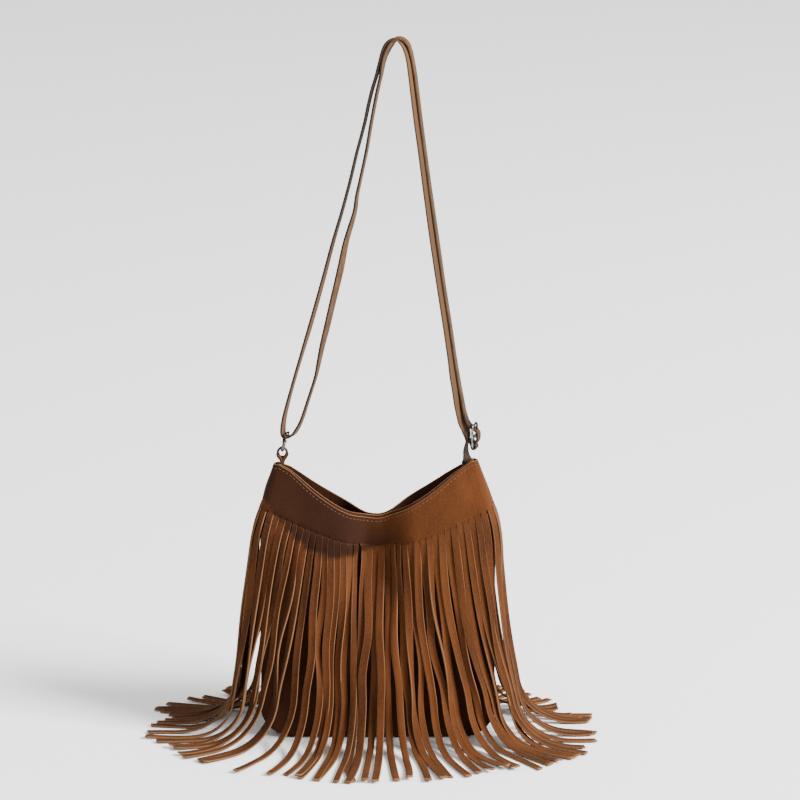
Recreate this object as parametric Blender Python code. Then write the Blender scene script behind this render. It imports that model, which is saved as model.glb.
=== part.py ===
"""Fringed suede shoulder bag with an adjustable strap held up as if on a hook.

Metres, +Z up, origin at the middle of the pouch's flat base, the front facing -Y.
"""
import math

import bmesh
import bpy
import numpy as np

# Pouch
BAG_HEIGHT = 0.2105          # base to the two corners of the mouth
BAG_WIDTH = 0.177            # side to side over the lower pouch
BAG_DEPTH = 0.050            # front to back at the base
SIDE_DRAW = 0.013            # how far each side draws in up to the corner of the mouth
MOUTH_DIP = 0.044            # how far the rim drops in the middle
MOUTH_CORNER_DEPTH = 0.006   # front to back at the corners of the mouth
BASE_CORNER_RADIUS = 0.024   # lower corners, seen from the front
SEAM_RADIUS = 0.005          # turned seams between the panels and the gusset
TAPER_START = 0.150          # height above which the sides draw in
GUSSET_TAPER_START = 0.040   # height above which the gusset narrows
BELLY = 0.0065               # swell of a panel past its side seams, high up
BELLY_LOW = 0.0015           # the same, at the base
SUEDE = 0.0014               # thickness of the suede
PANEL_ABOVE_YOKE = 0.0018    # the pouch's own edge shows above the yoke's
SNAP_WIDTH = 0.018           # half width of the stretch that the snap pulls flat
SNAP_PULL_LOW = 0.085        # height where the pull begins
SNAP_PULL_HIGH = 0.138       # height where the panels meet the snap

# Fringe
STRIPS = 42                  # strips cut in each of the two fringe pieces
YOKE_DEPTH = 0.0205          # plain band under the middle of the rim
SLIT_RISE = 0.036            # how much higher the slits start at the side seams
YOKE_CLEARANCE = 0.0005      # yoke to pouch
SLIT_KERF = 0.0005           # opening of a slit at its top
SPLAY_WIDTH = 0.346          # across the splayed tips
SPLAY_DEPTH = 0.244          # front to back over the splayed tips
STRIP_BEND = 0.040           # radius where a strip turns onto the surface
LEAN_FRONT = 0.007           # how far the front strips stand off above the bend
LEAN_SIDE = 0.021            # the same at the sides
TIP_SPREAD = 0.04            # uneven cut of the tips, as a share of their reach
FAN = 0.5                    # 0 spaces the tips evenly, 1 keeps the front ones straight
STAND_OFF = 0.0016           # strips off the pouch below their slits
CORNER_EASE = 0.0006         # extra room where the piece rounds the side seams

# Strap
STRAP_WIDTH = 0.008
STRAP_THICKNESS = 0.0016
STRAP_TURN = math.radians(18)    # the strap's flat is turned this far from front to back
STRAP_APEX_X = 0.0152
STRAP_RISE = 0.3157          # top of the strap above the mouth's corners
STRAP_RUN = 0.012            # half width and height of the arch over the top
STRAP_LAY = 0.0023           # outer strand to inner strand, centre to centre
HOLE_RADIUS = 0.0011
HOLE_PITCH = 0.022
HOLE_COUNT = 5

# Left hardware
RING_WIDTH = 0.0067          # between the wire centres of the D ring
RING_HEIGHT = 0.0070         # bar to the top of the arc
RING_WIRE = 0.00075          # radius
RING_INSET = 0.0043          # middle of the ring in from the corner of the mouth
RING_BAR_ABOVE = 0.0026      # bar above the corner of the mouth
TAB_WIDTH = 0.0044
TAB_THICKNESS = 0.0010
TAB_DEPTH = 0.0085           # stretch sewn inside the mouth
HOOK_LEAN = math.radians(14.5)
HOOK_WIRE = 0.00085          # radius
HOOK_BOW = 0.0029            # radius of the hook's bow
HOOK_CROTCH = 0.0060         # bow's lowest centre to the underside of the swivel barrel
BARREL_RADIUS = 0.0017
BARREL_LENGTH = 0.0020
POST_RADIUS = 0.0006
POST_HEAD = 0.0010
GATE_THICKNESS = 0.0012
GATE_PIN = 0.0004
EYE_HEIGHT = 0.0046          # between the wire centres of the eye
EYE_WIRE = 0.0006
EYE_TURN_WIDTH = 0.0025      # half width and depth of the strap's turn round the eye's top bar
EYE_TURN_DEPTH = 0.0018

# Right hardware
BUCKLE_INSET = 0.0033        # buckle in from the corner of the mouth
BUCKLE_RISE = 0.0190         # its centre bar above the corner
BUCKLE_WIDTH = 0.0125        # between the wire centres
BUCKLE_HALF = 0.0085         # centre bar to each end rail
BUCKLE_WIRE = 0.0008
BUCKLE_CORNER = 0.0022
CHAPE_WIDTH = 0.0070
CHAPE_THICKNESS = 0.0012
PRONG_RADIUS = 0.0006

# Magnetic snap
SNAP_RADIUS = 0.007
SNAP_Z = 0.150
SOCKET_THICKNESS = 0.0020
STUD_THICKNESS = 0.0019
NUB_RADIUS = 0.0025
NUB_HEIGHT = 0.0010

GAP = 0.0003                 # clearance where two pieces meet

HALF_WIDTH = BAG_WIDTH / 2
MOUTH_WIDTH = BAG_WIDTH - 2 * SIDE_DRAW
HALF_DEPTH = BAG_DEPTH / 2
SNAP_HALF = SUEDE + GAP + SOCKET_THICKNESS + GAP / 2
WIDTH_DIR = np.array([math.sin(STRAP_TURN), math.cos(STRAP_TURN), 0.0])
OUT_DIR = np.array([math.cos(STRAP_TURN), -math.sin(STRAP_TURN), 0.0])
UP = np.array([0.0, 0.0, 1.0])

SUEDE_COLOR = (0.225, 0.078, 0.022)
POUCH_COLOR = (0.170, 0.058, 0.018)
STRAP_COLOR = (0.190, 0.090, 0.052)
NICKEL_COLOR = (0.42, 0.41, 0.40)


def clear_scene():
    for obj in list(bpy.data.objects):
        bpy.data.objects.remove(obj, do_unlink=True)


def material(name, color, roughness, metallic=0.0):
    made = bpy.data.materials.new(name)
    made.use_nodes = True
    shader = made.node_tree.nodes["Principled BSDF"]
    shader.inputs["Base Color"].default_value = (*color, 1.0)
    shader.inputs["Roughness"].default_value = roughness
    shader.inputs["Metallic"].default_value = metallic
    return made


def add_solid(name, verts, faces, finish):
    """Make one closed mesh object with its faces pointing out."""
    mesh = bpy.data.meshes.new(name)
    mesh.from_pydata([tuple(v) for v in verts], [], faces)
    tidy = bmesh.new()
    tidy.from_mesh(mesh)
    bmesh.ops.recalc_face_normals(tidy, faces=tidy.faces)
    if tidy.calc_volume(signed=True) < 0:
        bmesh.ops.reverse_faces(tidy, faces=tidy.faces)
    tidy.to_mesh(mesh)
    tidy.free()
    mesh.shade_smooth()
    mesh.set_sharp_from_angle(angle=math.radians(40))
    mesh.materials.append(finish)
    obj = bpy.data.objects.new(name, mesh)
    bpy.context.collection.objects.link(obj)
    return obj


def boolean(target, other, operation):
    """Cut other from target, or join it on, and drop the other object."""
    bpy.context.view_layer.update()
    step = target.modifiers.new(operation.lower(), "BOOLEAN")
    step.operation = operation
    step.solver = "EXACT"
    step.object = other
    graph = bpy.context.evaluated_depsgraph_get()
    result = bpy.data.meshes.new_from_object(target.evaluated_get(graph))
    target.modifiers.clear()
    target.data = result
    bpy.data.objects.remove(other, do_unlink=True)


def smooth(value):
    value = np.clip(value, 0.0, 1.0)
    return value * value * (3.0 - 2.0 * value)


# Pouch surfaces

def rim_height(u):
    """Rim height at share u of the half width, -1 to 1."""
    return BAG_HEIGHT - MOUTH_DIP + MOUTH_DIP * smooth(np.abs(u))


def pouch_half_width(z):
    share = np.clip((z - TAPER_START) / (BAG_HEIGHT - TAPER_START), 0.0, 1.1)
    return HALF_WIDTH - (HALF_WIDTH - MOUTH_WIDTH / 2) * share ** 1.6


def gusset_half(z):
    """Half the gusset's width, front to back."""
    share = np.clip((z - GUSSET_TAPER_START) / (BAG_HEIGHT - GUSSET_TAPER_START), 0.0, 1.0)
    low = MOUTH_CORNER_DEPTH / 2
    return low + (HALF_DEPTH - low) * (1.0 - share ** 2.2)


def seam_radius(z):
    return np.minimum(SEAM_RADIUS, 0.8 * gusset_half(z))


def panel_depth(x, z):
    """Distance of a panel's outer face from the middle plane."""
    inner_width = pouch_half_width(z) - seam_radius(z)
    belly = BELLY_LOW + BELLY * smooth(z / (BAG_HEIGHT - MOUTH_DIP / 2))
    free = gusset_half(z) + belly * (1.0 - np.minimum(1.0, (x / inner_width) ** 2))
    across = 1.0 / (1.0 + (x / SNAP_WIDTH) ** 4)
    pull = across * smooth((z - SNAP_PULL_LOW) / (SNAP_PULL_HIGH - SNAP_PULL_LOW))
    return free + (SNAP_HALF - free) * pull


def seam_split(z):
    """Angles at which the panel starts and the gusset ends on the turned seam."""
    half_gap = GAP / seam_radius(z)
    return math.pi / 4 + half_gap, math.pi / 4 - half_gap


def edge_distance(x, z):
    """Distance inward from the pouch's outline seen from the front."""
    side = pouch_half_width(z) - np.abs(x)
    inner = HALF_WIDTH - BASE_CORNER_RADIUS
    over = np.maximum(np.abs(x) - inner, 0.0)
    below = np.maximum(BASE_CORNER_RADIUS - z, 0.0)
    corner = BASE_CORNER_RADIUS - np.hypot(over, below)
    distance = np.minimum(side, z)
    return np.where((over > 0) & (below > 0), corner, distance)


def outline_half_width(z, inset):
    """Half width of the outline's inset copy at height z."""
    inner = HALF_WIDTH - BASE_CORNER_RADIUS
    radius = BASE_CORNER_RADIUS - inset
    below = np.maximum(BASE_CORNER_RADIUS - z, 0.0)
    arc = inner + np.sqrt(np.maximum(radius ** 2 - below ** 2, 0.0))
    return np.where(z < BASE_CORNER_RADIUS, arc, pouch_half_width(z) - inset)


def panel_face(x, z):
    """Depth of a panel's outer face, its turned edges included."""
    seam = seam_radius(z)
    reach = np.clip(seam - edge_distance(x, z), 0.0, 0.98 * seam)
    return panel_depth(x, z) - seam + np.sqrt(seam ** 2 - reach ** 2)


def face_normals(depth, x, z):
    """Unit normals, facing -Y, of the surface y = -depth(x, z)."""
    step = 1e-5
    slope_x = (depth(x + step, z) - depth(x - step, z)) / (2 * step)
    slope_z = (depth(x, z + step) - depth(x, z - step)) / (2 * step)
    normal = np.stack([-slope_x, -np.ones_like(slope_x), -slope_z], axis=-1)
    return normal / np.linalg.norm(normal, axis=-1, keepdims=True)


def shell_faces(rows, columns):
    """Faces of a thick sheet: two grids of points and the band round their edge."""
    count = rows * columns
    faces = []
    for r in range(rows - 1):
        for c in range(columns - 1):
            a = r * columns + c
            quad = (a, a + 1, a + columns + 1, a + columns)
            faces.append(quad)
            faces.append(tuple(i + count for i in reversed(quad)))
    ring = [c for c in range(columns)]
    ring += [r * columns + columns - 1 for r in range(1, rows)]
    ring += [(rows - 1) * columns + c for c in range(columns - 2, -1, -1)]
    ring += [r * columns for r in range(rows - 2, 0, -1)]
    for a, b in zip(ring, ring[1:] + ring[:1]):
        faces.append((b, a, a + count, b + count))
    return faces


def add_panel(name, side, finish):
    """A front (side -1) or back (side 1) panel between its seams and the rim."""
    start, _ = seam_split(0.0)
    radius = SEAM_RADIUS
    first = radius * (1.0 - math.cos(start))
    second = radius * (1.0 - math.cos((start + math.pi / 2) / 2))
    heights = [first, second, radius, 0.009, 0.014, BASE_CORNER_RADIUS]
    base_rows = len(heights)
    upper = np.linspace(0.0, 1.0, 11)[1:]
    spread = np.linspace(-1.0, 1.0, 29)
    shares = spread * (0.5 + 0.5 * spread ** 2)
    turned = np.array([0.0, second - first, radius - first])
    grid = []
    for row in range(base_rows + len(upper)):
        share_up = upper[row - base_rows] if row >= base_rows else None
        grid.append(panel_row(share_up, heights[min(row, base_rows - 1)], shares, turned))
    flat = np.array(grid)
    x = flat[..., 0]
    z = flat[..., 1]
    outer = np.stack([x, -panel_face(x, z), z], axis=-1)
    inner = outer - face_normals(panel_face, x, z) * SUEDE
    points = np.concatenate([outer.reshape(-1, 3), inner.reshape(-1, 3)])
    points[:, 1] *= -side
    return add_solid(name, points, shell_faces(*x.shape), finish)


def panel_row(share_up, low, shares, turned):
    """One row of (x, z): the turned edge at each side and the spread shares between."""
    line = []
    edges = [(-1.0, inset) for inset in turned]
    middle = [(share, turned[-1]) for share in shares[1:-1]]
    for share, inset in edges + middle + [(1.0, i) for i in turned[::-1]]:
        if share_up is None:
            z = low
        else:
            top = rim_height(share) + PANEL_ABOVE_YOKE * (1.0 - share ** 4)
            z = low + (top - low) * share_up
        seam = seam_radius(z)
        angle, _ = seam_split(z)
        edge = seam * (1.0 - math.cos(angle))
        inset = inset * seam / SEAM_RADIUS
        line.append((share * (outline_half_width(z, edge) - inset), z))
    return line


def gusset_path():
    """Points down the left side, across the base and up the right, with inward normals."""
    inner = HALF_WIDTH - BASE_CORNER_RADIUS
    left = []
    for z in np.linspace(BAG_HEIGHT, BASE_CORNER_RADIUS, 12):
        left.append((-float(pouch_half_width(z)), float(z)))
    for angle in np.linspace(0.0, math.pi / 2, 7)[1:]:
        x = -inner - BASE_CORNER_RADIUS * math.cos(angle)
        left.append((x, BASE_CORNER_RADIUS * (1.0 - math.sin(angle))))
    middle = [(x, 0.0) for x in np.linspace(-inner, 0.0, 5)[1:]]
    half = np.array(left + middle)
    path = np.concatenate([half, half[-2::-1] * [-1, 1]])
    tangent = np.gradient(path, axis=0)
    tangent /= np.linalg.norm(tangent, axis=1, keepdims=True)
    normal = np.stack([-tangent[:, 1], tangent[:, 0]], axis=1)
    return path, normal


def add_gusset(finish):
    path, normal = gusset_path()
    outer = []
    inner = []
    for (x, z), (nx, nz) in zip(path, normal):
        seam = float(seam_radius(z))
        half = float(gusset_half(z))
        _, end = seam_split(z)
        columns = []
        for angle in (end, end / 2, 0.0):
            columns.append((seam * (1.0 - math.cos(angle)), half - seam * (1.0 - math.sin(angle)), angle))
        section = [(i, -d, -a) for i, d, a in columns] + [(i, d, a) for i, d, a in reversed(columns)]
        outer.append([(x + nx * i, y, z + nz * i) for i, y, _ in section])
        inward = []
        for i, y, a in section:
            along = SUEDE * math.cos(a)
            inward.append((x + nx * (i + along), y - SUEDE * math.sin(a), z + nz * (i + along)))
        inner.append(inward)
    outer = np.array(outer)
    points = np.concatenate([outer.reshape(-1, 3), np.array(inner).reshape(-1, 3)])
    return add_solid("gusset", points, shell_faces(*outer.shape[:2]), finish)


# Fringe

FRONT_SHARE = 0.84           # part of the fringe piece that lies across the front
ARC_SHARE = 0.92             # where the corner's turn ends and the side begins


def half_section(q, z, offset):
    """Point on the front half of the pouch's section at share q, -1 to 1, moved out by offset."""
    sign = 1.0 if q >= 0 else -1.0
    share = abs(q)
    middle = (FRONT_SHARE + ARC_SHARE) / 2
    offset += CORNER_EASE * max(0.0, 1.0 - ((share - middle) / 0.1) ** 2)
    width = float(pouch_half_width(z))
    half = float(gusset_half(z))
    seam = float(seam_radius(z))
    if share <= FRONT_SHARE:
        x = share / FRONT_SHARE * (width - seam)
        normal = face_normals(panel_depth, np.array(x), np.array(z))
        return np.array([sign * x, -(float(panel_depth(x, z)) - offset / float(normal[1])), z])
    if share <= ARC_SHARE:
        angle = (share - FRONT_SHARE) / (ARC_SHARE - FRONT_SHARE) * math.pi / 2
        x = width - seam + (seam + offset) * math.sin(angle)
        y = -(half - seam) - (seam + offset) * math.cos(angle)
        return np.array([sign * x, y, z])
    down = (share - ARC_SHARE) / (1.0 - ARC_SHARE)
    y = -(half - seam) * (1.0 - down) - GAP * down
    return np.array([sign * (width + offset), y, z])


def slit_height(q):
    """Height where the slits start."""
    return BAG_HEIGHT - MOUTH_DIP - YOKE_DEPTH + SLIT_RISE * abs(q) ** 1.2


def column_shares():
    """Shares q of the left and right edge of every strip, spaced evenly as seen from outside."""
    dense = np.linspace(-1.0, 1.0, 401)
    line = np.array([half_section(q, slit_height(q), 0.0) for q in dense])
    front = np.abs(dense) <= FRONT_SHARE
    line[front, 1] = line[front, 1][0]
    step = np.linalg.norm(np.diff(line[:, :2], axis=0), axis=1)
    length = np.concatenate([[0.0], np.cumsum(step)])
    pitch = length[-1] / STRIPS
    edges = []
    for strip in range(STRIPS):
        edges.append(strip * pitch + SLIT_KERF / 2)
        edges.append((strip + 1) * pitch - SLIT_KERF / 2)
    edges[0] = 0.0
    edges[-1] = length[-1]
    return np.interp(edges, length, dense), pitch


def tip_target(share, strip):
    """Where a strip ends on the surface, share 0 to 1 from the left side round to the right."""
    fanned = share + FAN / (2 * math.pi) * math.sin(2 * math.pi * share)
    angle = math.pi * fanned
    uneven = 1.0 - TIP_SPREAD * (0.5 + 0.5 * math.sin(2.4 * strip) * math.cos(0.9 * strip))
    reach_x = SPLAY_WIDTH / 2 * uneven
    reach_y = SPLAY_DEPTH / 2 * uneven
    return np.array([-reach_x * math.cos(angle), -reach_y * math.sin(angle), 0.0])


def hanging_centres(q):
    """Centres of a strip from its slit, over the belly, down to where it starts to turn."""
    top = slit_height(q)
    sign = 1.0 if q >= 0 else -1.0
    sideways = sign * LEAN_SIDE * min(1.0, (abs(q) / FRONT_SHARE) ** 3)
    forward = -LEAN_FRONT * min(1.0, (1.0 - abs(q)) / (1.0 - FRONT_SHARE))
    centres = []
    for share in (0.0, 0.14, 0.32, 0.6, 1.0):
        z = top + (STRIP_BEND - top) * share
        offset = YOKE_CLEARANCE + SUEDE / 2 + STAND_OFF * float(smooth(share * 6))
        lean = np.array([sideways, forward, 0.0]) * share ** 1.3
        centres.append(half_section(q, z, offset) + lean)
    return centres


def strip_rings(q_left, q_right, strip, width):
    """Rings of four points down one strip: outer left, outer right, inner right, inner left."""
    centres = hanging_centres((q_left + q_right) / 2)
    foot = centres[-1]
    heading = tip_target((strip + 0.5) / STRIPS, strip) - foot
    heading[2] = 0.0
    distance = np.linalg.norm(heading)
    heading /= distance
    rest = SUEDE / 2 + GAP
    turn = min(STRIP_BEND - rest, 0.85 * distance)
    for degrees in (30.0, 60.0, 90.0):
        angle = math.radians(degrees)
        centre = foot + heading * turn * (1.0 - math.cos(angle))
        centre[2] = STRIP_BEND - (STRIP_BEND - rest) * math.sin(angle)
        centres.append(centre)
    end = foot + heading * distance
    end[2] = rest
    centres.append(end)
    path = np.array(centres)
    top = slit_height((q_left + q_right) / 2)
    along_pouch = half_section(q_right, top, 0.0) - half_section(q_left, top, 0.0)
    along_pouch[2] = 0.0
    along_pouch /= np.linalg.norm(along_pouch)
    tangent = tangents(path)
    rings = []
    for centre, along in zip(path[1:], tangent[1:]):
        turned = float(smooth((top - centre[2]) / (top - STRIP_BEND)))
        side = along_pouch * (1.0 - turned) + np.cross(UP, heading) * turned
        side /= np.linalg.norm(side)
        half = side * width / 2
        thick = np.cross(along, side)
        thick = thick / np.linalg.norm(thick) * SUEDE / 2
        rings.append([centre - half + thick, centre + half + thick, centre + half - thick, centre - half - thick])
    return rings


def add_fringe(name, side, finish):
    """One fringe piece: the yoke band and its strips, as one closed solid."""
    shares, pitch = column_shares()
    width = pitch - SLIT_KERF
    yoke_rows = 5
    verts = []
    faces = []
    outer_start = 0
    columns = len(shares)
    for offset in (YOKE_CLEARANCE + SUEDE, YOKE_CLEARANCE):
        for row in range(yoke_rows):
            for q in shares:
                low = slit_height(q)
                width_share = min(1.0, abs(q) / FRONT_SHARE)
                high = float(rim_height(width_share))
                z = low + (high - low) * row / (yoke_rows - 1)
                verts.append(half_section(q, z, offset))
    inner_start = yoke_rows * columns
    for row in range(yoke_rows - 1):
        for c in range(columns - 1):
            a = outer_start + row * columns + c
            b = inner_start + row * columns + c
            faces.append((a, a + 1, a + columns + 1, a + columns))
            faces.append((b + columns, b + columns + 1, b + 1, b))
    last = (yoke_rows - 1) * columns
    for c in range(columns - 1):
        a = outer_start + last + c
        b = inner_start + last + c
        faces.append((a, a + 1, b + 1, b))
    for row in range(yoke_rows - 1):
        for c in (0, columns - 1):
            a = outer_start + row * columns + c
            b = inner_start + row * columns + c
            faces.append((a, a + columns, b + columns, b))
    for c in range(1, columns - 1, 2):
        faces.append((outer_start + c, outer_start + c + 1, inner_start + c + 1, inner_start + c))
    for strip in range(STRIPS):
        left = 2 * strip
        right = left + 1
        previous = [outer_start + left, outer_start + right, inner_start + right, inner_start + left]
        for ring in strip_rings(shares[left], shares[right], strip, width):
            start = len(verts)
            verts.extend(ring)
            current = [start, start + 1, start + 2, start + 3]
            for k in range(4):
                nxt = (k + 1) % 4
                faces.append((previous[k], previous[nxt], current[nxt], current[k]))
            previous = current
        faces.append(tuple(previous))
    points = np.array(verts)
    points[:, 1] *= -side
    return add_solid(name, points, faces, finish)


# Sweeps

def spline(points, per_span):
    """Smooth curve through unevenly spaced points, with per_span samples to each span."""
    pts = np.array(points, dtype=float)
    span = np.linalg.norm(np.diff(pts, axis=0), axis=1)[:, None]
    slope = np.diff(pts, axis=0) / span
    inside = (slope[:-1] * span[1:] + slope[1:] * span[:-1]) / (span[1:] + span[:-1])
    slope = np.concatenate([slope[:1], inside, slope[-1:]])
    result = []
    for i in range(len(span)):
        for k in range(per_span):
            t = k / per_span
            place = pts[i] * (1 + 2 * t) * (1 - t) ** 2 + pts[i + 1] * t * t * (3 - 2 * t)
            bend = slope[i] * t * (1 - t) ** 2 - slope[i + 1] * t * t * (1 - t)
            result.append(place + bend * span[i])
    result.append(pts[-1])
    return np.array(result)


def tangents(path, closed=False):
    if closed:
        step = np.roll(path, -1, axis=0) - np.roll(path, 1, axis=0)
    else:
        step = np.gradient(path, axis=0)
    return step / np.linalg.norm(step, axis=1, keepdims=True)


def sweep(path, across, profile, closed=False):
    """Carry a closed profile of (across, face) points along a path."""
    path = np.array(path, dtype=float)
    tangent = tangents(path, closed)
    across = np.broadcast_to(np.array(across, dtype=float), path.shape)
    across = across - tangent * np.sum(across * tangent, axis=1, keepdims=True)
    across = across / np.linalg.norm(across, axis=1, keepdims=True)
    face = np.cross(tangent, across)
    verts = []
    for point, a, f in zip(path, across, face):
        verts.extend(point + a * s + f * t for s, t in profile)
    sides = len(profile)
    rings = len(path)
    faces = []
    for ring in range(rings if closed else rings - 1):
        nxt = (ring + 1) % rings
        for k in range(sides):
            m = (k + 1) % sides
            faces.append((ring * sides + k, ring * sides + m, nxt * sides + m, nxt * sides + k))
    if not closed:
        faces.append(tuple(range(sides)))
        faces.append(tuple((rings - 1) * sides + k for k in range(sides)))
    return verts, faces


def flat_profile(width, thickness):
    w = width / 2
    t = thickness / 2
    return [(-w, -t), (w, -t), (w, t), (-w, t)]


def round_profile(radius, sides):
    turn = 2 * math.pi / sides
    return [(radius * math.cos(k * turn), radius * math.sin(k * turn)) for k in range(sides)]


def add_wire(name, path, across, radius, finish, closed=False, sides=8):
    verts, faces = sweep(path, across, round_profile(radius, sides), closed)
    return add_solid(name, verts, faces, finish)


def add_disc(name, centre, axis, outline, finish, sides=24):
    """Turned solid: outline holds (height along axis, radius) points from pole to pole."""
    axis = np.array(axis, dtype=float)
    helper = UP if abs(axis[2]) < 0.9 else np.array([1.0, 0.0, 0.0])
    first = np.cross(axis, helper)
    first /= np.linalg.norm(first)
    second = np.cross(axis, first)
    verts = []
    for height, radius in outline:
        for k in range(sides):
            a = 2 * math.pi * k / sides
            verts.append(centre + axis * height + (first * math.cos(a) + second * math.sin(a)) * radius)
    faces = []
    for ring in range(len(outline) - 1):
        for k in range(sides):
            m = (k + 1) % sides
            faces.append((ring * sides + k, ring * sides + m, (ring + 1) * sides + m, (ring + 1) * sides + k))
    faces.append(tuple(range(sides)))
    faces.append(tuple((len(outline) - 1) * sides + k for k in range(sides)))
    return add_solid(name, verts, faces, finish)


def add_tube(name, centre, axis, inner, outer, low, high, finish, sides=16):
    """Short pipe along an axis, between heights low and high."""
    axis = np.array(axis, dtype=float)
    helper = UP if abs(axis[2]) < 0.9 else np.array([1.0, 0.0, 0.0])
    first = np.cross(axis, helper)
    first /= np.linalg.norm(first)
    second = np.cross(axis, first)
    ring = [(low, inner), (low, outer), (high, outer), (high, inner)]
    verts = []
    for k in range(sides):
        a = 2 * math.pi * k / sides
        ray = first * math.cos(a) + second * math.sin(a)
        verts.extend(centre + axis * h + ray * r for h, r in ring)
    faces = []
    for k in range(sides):
        m = (k + 1) % sides
        for j in range(4):
            n = (j + 1) % 4
            faces.append((k * 4 + j, k * 4 + n, m * 4 + n, m * 4 + j))
    return add_solid(name, verts, faces, finish)


# Magnetic snap

def add_snap(finish):
    """Socket on the front panel and stud on the back one, faces a hair apart."""
    inner_face = SNAP_HALF - SUEDE
    front = np.array([0.0, -inner_face + GAP, SNAP_Z])
    recess = NUB_HEIGHT + GAP
    socket = [
        (0.0, SNAP_RADIUS),
        (SOCKET_THICKNESS, SNAP_RADIUS),
        (SOCKET_THICKNESS, NUB_RADIUS + GAP),
        (SOCKET_THICKNESS - recess, NUB_RADIUS + GAP),
    ]
    add_disc("magnet_socket", front, (0, 1, 0), socket, finish)
    back = np.array([0.0, inner_face - GAP, SNAP_Z])
    stud = [
        (0.0, SNAP_RADIUS),
        (STUD_THICKNESS, SNAP_RADIUS),
        (STUD_THICKNESS, NUB_RADIUS),
        (STUD_THICKNESS + NUB_HEIGHT, NUB_RADIUS),
    ]
    add_disc("magnet_stud", back, (0, -1, 0), stud, finish)


# Left hardware

RING_X = -(MOUTH_WIDTH / 2 - RING_INSET)
RING_BAR_Z = BAG_HEIGHT + RING_BAR_ABOVE
RING_TOP_Z = RING_BAR_Z + RING_HEIGHT
HOOK_AXIS = np.array([math.sin(HOOK_LEAN), 0.0, math.cos(HOOK_LEAN)])
HOOK_FACE = np.array([math.cos(HOOK_LEAN), 0.0, -math.sin(HOOK_LEAN)])
HOOK_FOOT = np.array([RING_X, 0.0, RING_TOP_Z - RING_WIRE - GAP - HOOK_WIRE])
BARREL_TOP = HOOK_CROTCH + BARREL_LENGTH
EYE_LOW = BARREL_TOP + GAP + EYE_WIRE
EYE_BAR = HOOK_FOOT + HOOK_AXIS * (EYE_LOW + EYE_HEIGHT)


def inner_wall(x, z):
    """Distance of the back panel's inner face from the middle plane."""
    x = np.array(abs(x))
    z = np.array(min(z, BAG_HEIGHT))
    return float(panel_face(x, z) + SUEDE / face_normals(panel_face, x, z)[1])


def add_d_ring(finish):
    """D-shaped wire: a straight bar below and an arc over it."""
    half = RING_WIDTH / 2
    rise = RING_HEIGHT
    points = [(-half, 0.0), (-half / 2, 0.0), (half / 2, 0.0), (half, 0.0)]
    for angle in np.linspace(0.0, math.pi, 13):
        points.append((half * math.cos(angle) * 1.06, rise * 0.32 + rise * 0.68 * math.sin(angle)))
    path = [(RING_X + x, 0.0, RING_BAR_Z + z) for x, z in points]
    add_wire("d_ring", path, (0, 1, 0), RING_WIRE, finish, closed=True)


def add_ring_tab(finish):
    """Suede tab folded round the bar, both legs sewn to the back panel's inner face."""
    fold = RING_WIRE + GAP + TAB_THICKNESS / 2
    leg = TAB_THICKNESS / 2 + GAP / 6
    foot_z = BAG_HEIGHT - TAB_DEPTH
    neck_z = RING_BAR_Z - fold * 1.9
    seat = []
    for z in (foot_z, (foot_z + neck_z) / 2, neck_z):
        wall = inner_wall(abs(RING_X) + TAB_WIDTH / 2, z)
        seat.append((wall - 1.6 * GAP - leg - TAB_THICKNESS / 2, z))
    loop = []
    for degrees in (-38, -10, 25, 60, 90, 120, 155, 190, 218):
        a = math.radians(degrees)
        loop.append((fold * math.cos(a), RING_BAR_Z + fold * math.sin(a)))
    right = [(y + leg, z) for y, z in seat]
    left = [(y - leg, z) for y, z in reversed(seat)]
    path = [(RING_X, y, z) for y, z in right + loop + left]
    verts, faces = sweep(path, (1, 0, 0), flat_profile(TAB_WIDTH, TAB_THICKNESS))
    add_solid("ring_tab", verts, faces, finish)


def hook_point(y, height, face=0.0):
    return HOOK_FOOT + HOOK_AXIS * height + np.array([0.0, y, 0.0]) + HOOK_FACE * face


GATE_Y = BARREL_RADIUS + GAP + GATE_THICKNESS / 2
GATE_TOP = HOOK_CROTCH - GATE_PIN
GATE_LOW = HOOK_BOW + 3 * GAP
EAR_THICKNESS = 0.0006


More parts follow.
